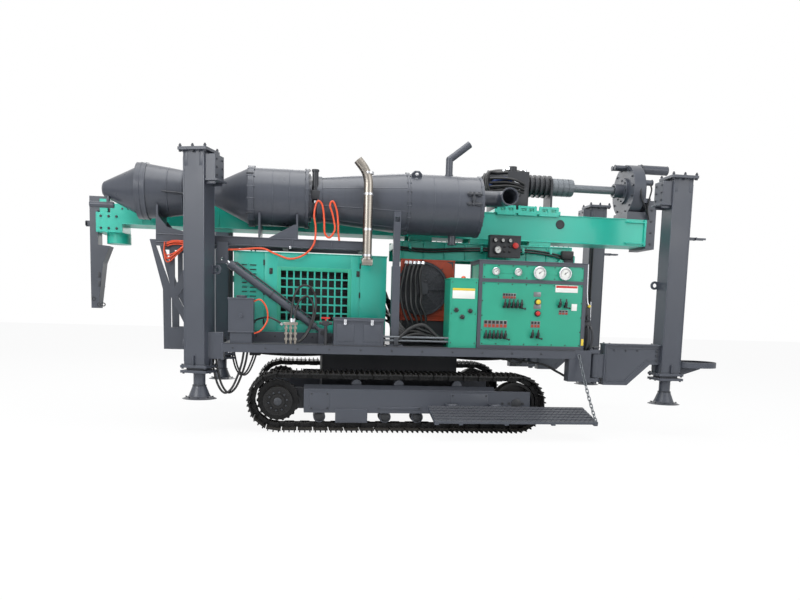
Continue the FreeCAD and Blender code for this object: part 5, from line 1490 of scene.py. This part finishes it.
def cyclone_trim():
    """Bolts, rings, ribs, gussets, latch, hoses and frame trim of the cyclone line."""
    bolts = Piece("cyclone_bolts", "cyclone", "slate_dark")
    for x, radius, count in ((-2619, 262, 12), (-1532, 296, 16), (-953, 296, 16)):
        line_flange(bolts, x, radius, count)
    for x, radius, count in ((-940, 216, 10), (-800, 216, 10)):
        bolts.bolts(on_axis(x), (1 if x > -900 else -1, 0, 0), radius, count, 9, 9)
    line_flange(bolts, 83, 313, 18)
    bolts.bolts(on_axis(890), (1, 0, 0), 306, 18, 9, 9)
    bolts.done()
    rings = Piece("cyclone_rings", "cyclone", "vessel")
    rings.turned(((0, 262), (0, 284), (14, 284), (14, 262)), on_axis(-2610), (1, 0, 0), 64)
    rings.turned(((0, 262), (0, 284), (14, 284), (14, 262)), on_axis(-2560), (1, 0, 0), 64)
    for x, radius in (
        (-1545, 301), (-1492, 297), (-967, 299), (-940, 297),
        (85, 318), (104, 318), (864, 318), (884, 318),
    ):
        rings.ring(on_axis(x), (1, 0, 0), radius, 4, 72, 6)
    for i in range(16):
        angle = math.radians(22.5 * i + 11)
        y, z = math.cos(angle), math.sin(angle)
        for x0, x1, radius in ((-1556, -1480, 301), (-974, -932, 299), (76, 114, 318), (858, 892, 318)):
            rings.bar(around(x0, radius, y, z), around(x1, radius, y, z), 7, sides=8)
    for x in (-2340, -2200):
        radius = 270 - (x + 2545) * 45 / 345
        rings.ring(on_axis(x), (1, 0, 0), radius, 5, 64)
    for x, radius in ((-1300, 293), (-1130, 293), (360, 316), (620, 316)):
        rings.ring(on_axis(x), (1, 0, 0), radius - 1, 3, 64, 6)
    for i in range(12):
        angle = math.radians(30 * i + 15)
        y, z = math.cos(angle), math.sin(angle)
        rings.bar(around(-2596, 268, y, z), around(-2560, 268, y, z), 8, sides=8)
    rings.turned(((0, 84), (0, 94), (14, 94), (14, 84)), (1180, -780, 2490), (0, -1, 0), 40)
    rings.turned(((0, 84), (0, 100), (12, 100), (12, 84)), (892, -560, 2490), (1, 0, 0), 40)
    rings.turned(((0, 38), (0, 44), (16, 44), (16, 38)), (560, -560, 2704), (0, 0, 1), 28)
    rings.turned(((0, 41), (0, 50), (14, 50), (14, 41)), (614, -560, 1979), (0, 0, 1), 28)
    rings.done()
    for angle in (22, 62, 118, 158, 202, 242, 298, 338):
        y, z = math.cos(math.radians(angle)), math.sin(math.radians(angle))
        seam = Piece("cone_rib_%d" % angle, "cyclone", "vessel")
        seam.bar(around(-798, CONE_RIB_R[0], y, z), around(80, CONE_RIB_R[1], y, z), 9, 7, sides=8)
        seam.done()
    gusset = Piece("saddle_gussets", "cyclone", "slate")
    for ys in ((-822, -810), (-310, -298)):
        gusset.plate(((-1340, 1948), (-1300, 1968), (-1080, 2092), (-1040, 2092), (-1040, 1948)), *ys)
        gusset.plate(
            ((-2440, 1948), (-2440, 2120), (-2415, 2120), (-2330, 2015), (-2150, 1975), (-2060, 1948)),
            *ys,
        )
    gusset.done()
    latch = Piece("drum_latch", "cyclone", "slate_dark")
    for z in (2480, 2378):
        latch.bar((700, -884, z), (850, -884, z), 13, sides=14)
        latch.block((712, 740), (-892, -850), (z - 22, z + 22), 4)
        latch.block((812, 840), (-892, -850), (z - 22, z + 22), 4)
    latch.bar((768, -890, 2360), (768, -890, 2500), 11, sides=14)
    latch.block((748, 788), (-900, -878), (2408, 2452), 5)
    latch.done()
    tabs = Piece("cyclone_tabs", "cyclone", "slate_dark")
    for x in (-1532, 95):
        for angle in (40, 140, 220, 320):
            y, z = math.cos(math.radians(angle)), math.sin(math.radians(angle))
            tabs.bar(around(x - 30, 306, y, z), around(x + 40, 306, y, z), 9, sides=10)
    tabs.bar((-2380, -826, 2360), (-2180, -800, 2352), 8, sides=10)
    tabs.ball((-2178, -800, 2351), 14)
    tabs.done()
    hose = Piece("air_hose", "cyclone", "orange")
    hose.pipe((
        (-1832, -852, 1805), (-1616, -858, 1820), (-1398, -854, 1838),
        (-1268, -862, 1790), (-1117, -866, 1745),
        (-977, -864, 1790), (-880, -862, 1900), (-862, -850, 2060),
        (-880, -842, 2200), (-850, -840, 2330), (-800, -846, 2300),
        (-777, -850, 2150), (-770, -854, 2020), (-720, -854, 1975),
        (-668, -850, 2060), (-690, -842, 2200), (-720, -836, 2300),
        (-690, -834, 2340), (-650, -840, 2250), (-635, -848, 2120),
        (-632, -850, 2034), (-620, -838, 1950),
    ), 10, 12, 10)
    for dz, dy in ((0, 0), (18, -10), (-16, -8), (4, -20)):
        hose.pipe((
            (-2348, -848 + dy, 1848 + dz), (-2352, -856 + dy, 1760 + dz),
            (-2320, -858 + dy, 1700 + dz * 2), (-2230, -856 + dy, 1760 + dz),
            (-2150, -850 + dy, 1850 + dz), (-2260, -846 + dy, 1862 + dz), (-2330, -848 + dy, 1840 + dz),
        ), 7, 10, 8)
    hose.pipe(
        ((-2150, -850, 1850), (-2110, -852, 1760), (-2104, -850, 1640), (-2111, -846, 1500)), 8, 10, 8,
    )
    hose.done()
    valve = Piece("gate_cylinder", "cyclone", "cast")
    valve.block((-920, -820), (-800, -740), (2360, 2450), 8)
    valve.bar((-870, -760, 2450), (-870, -760, 2640), 32, sides=24)
    valve.bar((-870, -760, 2640), (-870, -760, 2660), 38, sides=24)
    valve.block((-900, -840), (-770, -700), (2330, 2380), 6)
    valve.done()
    clips = Piece("hose_clips", "cyclone", "bright")
    for x, y, z in ((-1616, -838, 1820), (-1117, -838, 1860), (-870, -800, 2330), (-632, -832, 2034)):
        clips.block((x - 10, x + 10), (y - 14, y + 12), (z - 14, z + 14), 3)
    clips.done()
    rails = Piece("frame_trim", "cyclone", "slate")
    for y, out in ((-825, -1), (-295, 1)):
        ys = outward(y, out * 9)
        rails.block((-2436, -334), ys, (1938, 1950), 2)
        rails.block((-2436, -334), ys, (1860, 1872), 2)
        for x in (-1900, -1500, -1100, -700):
            rails.block((x, x + 10), ys, (1872, 1938), 1)
    rails.cap(42, 12, 16, 34, (-2150, -827, 870), (0, -1, 0), 28)
    rails.cap(42, 12, 16, 34, (-2150, -293, 870), (0, 1, 0), 28)
    rails.done()


def cylinder_trim():
    """Bands and oil lines on the two barrels, and the caps of a base pin."""
    lines = Piece("tilt_lines", "tilt_barrel", "slate_dark")
    base, eye = Vector((-776, -870, 1005)), Vector((-1779, -870, 1718))
    along = (eye - base).normalized()
    up = Vector((-along.z, 0, along.x)) * -1
    for s in (150, 640, 1120):
        spot = base + along * s
        ring_at(lines, at(*spot), along, 42, 16, 28)
    low = base + along * 150 + up * 52
    high = base + along * 1110 + up * 52
    lines.bar(tuple(low), tuple(high), 9, sides=10)
    lines.bar(tuple(high), tuple(high - up * 30), 12, sides=10)
    lines.bar(tuple(low), tuple(low - up * 30), 12, sides=10)
    lines.done()
    lift = Piece("lift_lines", "lift_barrel", "teal_panel")
    base, eye = Vector((300, 0, 980)), Vector((1350, 0, 1790))
    along = (eye - base).normalized()
    for s in (160, 700, 1180):
        ring_at(lift, at(*(base + along * s)), along, 63, 18, 32)
    lift.bar(
        tuple(base + along * 160 + Vector((0, -72, 0))),
        tuple(base + along * 1170 + Vector((0, -72, 0))), 10,
        sides=10,
    )
    lift.done()
    caps = Piece("cylinder_pins", "chassis", "cast")
    for y, out in ((-912, -1), (-828, 1)):
        caps.turned(((0, 0), (0, 26), (8, 26), (10, 0)), (-776, y, 1005), (0, out, 0), 20)
    caps.done()


# Below and around the deck

def deck_trim():
    """Bolts along the deck, and the hoses and brackets that lead to the legs."""
    trim = Piece("deck_trim", "chassis", "slate_dark")
    for side in (-1, 1):
        y = side * 1140
        for x in range(-1660, 1800, 315):
            trim.bolt((x, y, 845), (0, side, 0), 9, 7)
        trim.block((-1750, 1856), outward(y, side * 5), (884, 892), 1)
    for z in (760, 820):
        for side in (-1, 1):
            trim.bolt((-1774, side * 1010, z), (-1, 0, 0), 11, 10)
    trim.done()
    hoses = Piece("leg_hoses", "chassis", "rubber")
    for side in (-1, 1):
        for dx, dy in ((0, 0), (34, 26)):
            y = -1040 + dy
            y = y if side > 0 else -y
            hoses.pipe((
                (-1868 + dx, y, 745), (-1858 + dx, y, 640), (-1815 + dx, y, 470),
                (-1750 + dx, y, 385), (-1680 + dx, y, 430),
                (-1620 + dx, y, 560), (-1580 + dx, y, 690), (-1560 + dx, y, 805),
            ), 11, 12, 10)
    for side in (-1, 1):
        for dx, dy in ((0, 0), (0, 34)):
            y = -960 + dy
            y = y if side > 0 else -y
            hoses.pipe((
                (1199, y, 802), (1330, y, 760), (1586, y, 722), (1760, y, 640),
                (1880, y, 590), (1960, y, 640), (2010, y, 720), (2030, y, 780),
            ), 11, 12, 10)
    hoses.done()
    clips = Piece("hose_brackets", "chassis", "slate_dark")
    for side in (-1, 1):
        for x, y, z in ((-1851, 1027, 760), (-1543, 1027, 812), (1199, 943, 806), (2030, 943, 800)):
            clips.block(
                (x - 34, x + 34), sorted((-side * (y - 34), -side * (y + 34))), (z - 14, z + 22), 4,
            )
    clips.done()


def underdeck():
    """Hose runs, cross bars and valve blocks that hang under the deck between the tracks."""
    lines = Piece("underdeck_hoses", "chassis", "rubber")
    for i in range(6):
        y = -250 + 100 * i
        lines.pipe((
            (-1500, y, 790), (-1430, y * 0.98, 752 - 6 * (i % 3)),
            (-1100, y * 0.9, 735 - 10 * (i % 2)), (-780, y * 0.7, 742),
            (-560, y * 0.62, 765),
        ), 16 if i % 2 else 20, 12, 8)
        lines.pipe((
            (560, y * 0.62, 765), (800, y * 0.7, 738), (1050, y * 0.9, 728 - 8 * (i % 2)),
            (1330, y * 0.98, 744 + 6 * (i % 3)), (1420, y, 790),
        ), 16 if i % 2 else 20, 12, 8)
    lines.done()
    blocks = Piece("underdeck_valves", "chassis", "cast")
    for x, y in ((-1500, -120), (-1500, 160), (1400, -120), (1400, 160)):
        blocks.block((x - 60, x + 60), (y - 110, y + 110), (715, 800), 8)
        for dx in (-30, 0, 30):
            blocks.bar((x + dx, y - 110, 750), (x + dx, y - 142, 750), 13, sides=6)
    for x in (-1180, -830, 830, 1120):
        blocks.block((x - 18, x + 18), (-300, 300), (762, 802), 5)
    blocks.done()


def step_trim():
    """Raised studs on the step board's slats."""
    grip = Piece("step_grip", "step_board", "slate_dark")
    tilt = math.radians(13.0)
    y0, z0 = -1145.0, 290.0
    slat = 75.0
    for i in range(6):
        for j in range(33):
            x = 325 + j * 50
            dy = -28 - i * slat - 28.5
            for k in (-1, 1):
                y = dy + k * 15
                yy = y0 + y * math.cos(tilt) - 10 * math.sin(tilt)
                zz = z0 + y * math.sin(tilt) + 10 * math.cos(tilt)
                grip.bar((x + 12 * k, yy, zz - 2), (x + 12 * k, yy + 1, zz + 4), 7, 5, sides=8)
    grip.done()


def step_chain():
    """The chain from the deck's corner to the step board's outer corner."""
    start, end = at(1900, -1148, 842), at(1950, -1560, 200)
    count = 17
    line = [
        start.lerp(end, i / count) - Vector((0, 0, 1)) * 0.035 * math.sin(math.pi * i / count)
        for i in range(count + 1)
    ]
    mesh = bmesh.new()
    for i, (a, b) in enumerate(zip(line, line[1:])):
        middle = (a + b) / 2
        direction = (b - a).normalized()
        turn = Matrix.Rotation(math.pi / 2 * (i % 2), 4, "Z")
        matrix = Matrix.Translation(middle) @ direction.to_track_quat("Z", "Y").to_matrix().to_4x4() @ turn
        half = (b - a).length * 0.62
        loop = []
        for k in range(16):
            angle = 2 * math.pi * k / 16
            x = 0.0135 * math.cos(angle)
            z = math.sin(angle)
            loop.append(Vector((x, 0, z * 0.0135 + (half - 0.0135) * (1 if z > 0 else -1))))
        link_tube(mesh, loop, matrix, 0.0052)
    data = bpy.data.meshes.new("step_chain")
    mesh.to_mesh(data)
    mesh.free()
    data.materials.append(materials["rod_paint"])
    data.polygons.foreach_set("use_smooth", [True] * len(data.polygons))
    made = bpy.data.objects.new("step_chain", data)
    bpy.context.scene.collection.objects.link(made)
    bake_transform(made)


def link_tube(mesh, loop, matrix, radius):
    rings = []
    count = len(loop)
    for i, spot in enumerate(loop):
        tangent = (loop[(i + 1) % count] - loop[i - 1]).normalized()
        side = Vector((0, 1, 0))
        up = tangent.cross(side).normalized()
        rings.append([
            mesh.verts.new(matrix @ (spot + (side * math.cos(a) + up * math.sin(a)) * radius))
            for a in (2 * math.pi * k / 6 for k in range(6))
        ])
    for i in range(count):
        low, high = rings[i], rings[(i + 1) % count]
        for k in range(6):
            j = (k + 1) % 6
            mesh.faces.new([low[k], low[j], high[j], high[k]])


# Camera, floor and light

CAMERA_PLACE = (-1020.0, -8400.0, 1221.0)
CAMERA_YAW = -0.1404
CAMERA_PITCH = 0.1115
CAMERA_ROLL = -0.0285
FOCAL_PIXELS = 721.8
CENTRE_PIXELS = (399.3, 394.6)
FRAME_PIXELS = (800.0, 600.0)


def make_camera():
    data = bpy.data.cameras.new("camera")
    data.sensor_width = 36.0
    data.lens = FOCAL_PIXELS * data.sensor_width / FRAME_PIXELS[0]
    data.shift_x = (FRAME_PIXELS[0] / 2 - CENTRE_PIXELS[0]) / FRAME_PIXELS[0]
    data.shift_y = (CENTRE_PIXELS[1] - FRAME_PIXELS[1] / 2) / FRAME_PIXELS[0]
    camera = bpy.data.objects.new("camera", data)
    bpy.context.scene.collection.objects.link(camera)
    right = Vector((math.cos(CAMERA_YAW), math.sin(CAMERA_YAW), 0.0))
    ahead = Vector((
        -math.sin(CAMERA_YAW) * math.cos(CAMERA_PITCH), math.cos(CAMERA_YAW) * math.cos(CAMERA_PITCH),
        -math.sin(CAMERA_PITCH),
    ))
    down = ahead.cross(right)
    turned_right = right * math.cos(CAMERA_ROLL) + down * math.sin(CAMERA_ROLL)
    turned_down = down * math.cos(CAMERA_ROLL) - right * math.sin(CAMERA_ROLL)
    axes = Matrix((turned_right, -turned_down, -ahead)).transposed().to_4x4()
    camera.matrix_world = Matrix.Translation(at(*CAMERA_PLACE)) @ axes
    bpy.context.scene.camera = camera


def make_floor():
    mesh = bpy.data.meshes.new("floor")
    size = 40.0
    mesh.from_pydata(
        [(-size, -size, 0), (size, -size, 0), (size, size, 0), (-size, size, 0)], [], [(0, 1, 2, 3)],
    )
    floor = bpy.data.objects.new("floor", mesh)
    bpy.context.scene.collection.objects.link(floor)
    made = bpy.data.materials.new("floor")
    made.use_nodes = True
    nodes, links = made.node_tree.nodes, made.node_tree.links
    shader = nodes["Principled BSDF"]
    shader.inputs["Base Color"].default_value = (0.86, 0.86, 0.86, 1.0)
    shader.inputs["Roughness"].default_value = 0.8
    rays = nodes.new("ShaderNodeLightPath")
    glow = nodes.new("ShaderNodeEmission")
    glow.inputs["Color"].default_value = (1.0, 1.0, 1.0, 1.0)
    share = nodes.new("ShaderNodeMath")
    share.operation = "MULTIPLY"
    share.inputs[1].default_value = 0.93
    links.new(rays.outputs["Is Camera Ray"], share.inputs[0])
    mix = nodes.new("ShaderNodeMixShader")
    links.new(share.outputs["Value"], mix.inputs["Fac"])
    links.new(shader.outputs["BSDF"], mix.inputs[1])
    links.new(glow.outputs["Emission"], mix.inputs[2])
    links.new(mix.outputs["Shader"], nodes["Material Output"].inputs["Surface"])
    mesh.materials.append(made)


def make_world():
    """Plain pale surroundings that light the machine, and read as white where they are seen."""
    world = bpy.data.worlds.new("world")
    bpy.context.scene.world = world
    world.use_nodes = True
    nodes, links = world.node_tree.nodes, world.node_tree.links
    back = nodes["Background"]
    back.inputs["Color"].default_value = (0.93, 0.96, 1.0, 1.0)
    back.inputs["Strength"].default_value = 0.4
    seen = nodes.new("ShaderNodeBackground")
    seen.inputs["Color"].default_value = (1.0, 1.0, 1.0, 1.0)
    seen.inputs["Strength"].default_value = 1.0
    rays = nodes.new("ShaderNodeLightPath")
    plain = nodes.new("ShaderNodeMath")
    plain.operation = "MAXIMUM"
    links.new(rays.outputs["Is Camera Ray"], plain.inputs[0])
    links.new(rays.outputs["Is Transmission Ray"], plain.inputs[1])
    white = nodes.new("ShaderNodeMath")
    white.operation = "MAXIMUM"
    links.new(plain.outputs["Value"], white.inputs[0])
    links.new(rays.outputs["Is Glossy Ray"], white.inputs[1])
    mix = nodes.new("ShaderNodeMixShader")
    links.new(white.outputs["Value"], mix.inputs["Fac"])
    links.new(back.outputs["Background"], mix.inputs[1])
    links.new(seen.outputs["Background"], mix.inputs[2])
    links.new(mix.outputs["Shader"], nodes["World Output"].inputs["Surface"])


# Lamps: name, place, target, size in metres, power in watts
LAMPS = (
    ("overhead", (0.0, -1500.0, 8500.0), (0.0, 0.0, 1200.0), 8.0, 640.0),
    ("left_front", (-6500.0, -7000.0, 5200.0), (-500.0, 0.0, 1300.0), 4.0, 390.0),
    ("right_front", (6500.0, -7500.0, 4200.0), (800.0, 0.0, 1200.0), 5.0, 190.0),
    ("behind", (0.0, 8000.0, 5600.0), (0.0, 0.0, 1400.0), 6.0, 220.0),
)


def make_lamps():
    for name, place, target, size, power in LAMPS:
        data = bpy.data.lights.new(name, "AREA")
        data.size = size
        data.energy = power
        lamp = bpy.data.objects.new(name, data)
        bpy.context.scene.collection.objects.link(lamp)
        spot = at(*place)
        turn = (at(*target) - spot).to_track_quat("-Z", "Y").to_matrix().to_4x4()
        lamp.matrix_world = Matrix.Translation(spot) @ turn


make_camera()
make_floor()
make_world()
make_lamps()
paint_nodes()
for name, side in SIDES:
    track_belt(name, side)
track_frames()
legs()
canopy_rest()
exhaust_trim()
deck_boxes()
bay_hoses()
cabinets()
lever_rows()
canopy_hoses()
oil_tank_trim()
mast_trim()
jib_trim()
head_trim()
clamp_trim()
cyclone_trim()
cylinder_trim()
deck_trim()
underdeck()
step_trim()
step_chain()
bpy.context.scene.view_settings.view_transform = "Standard"
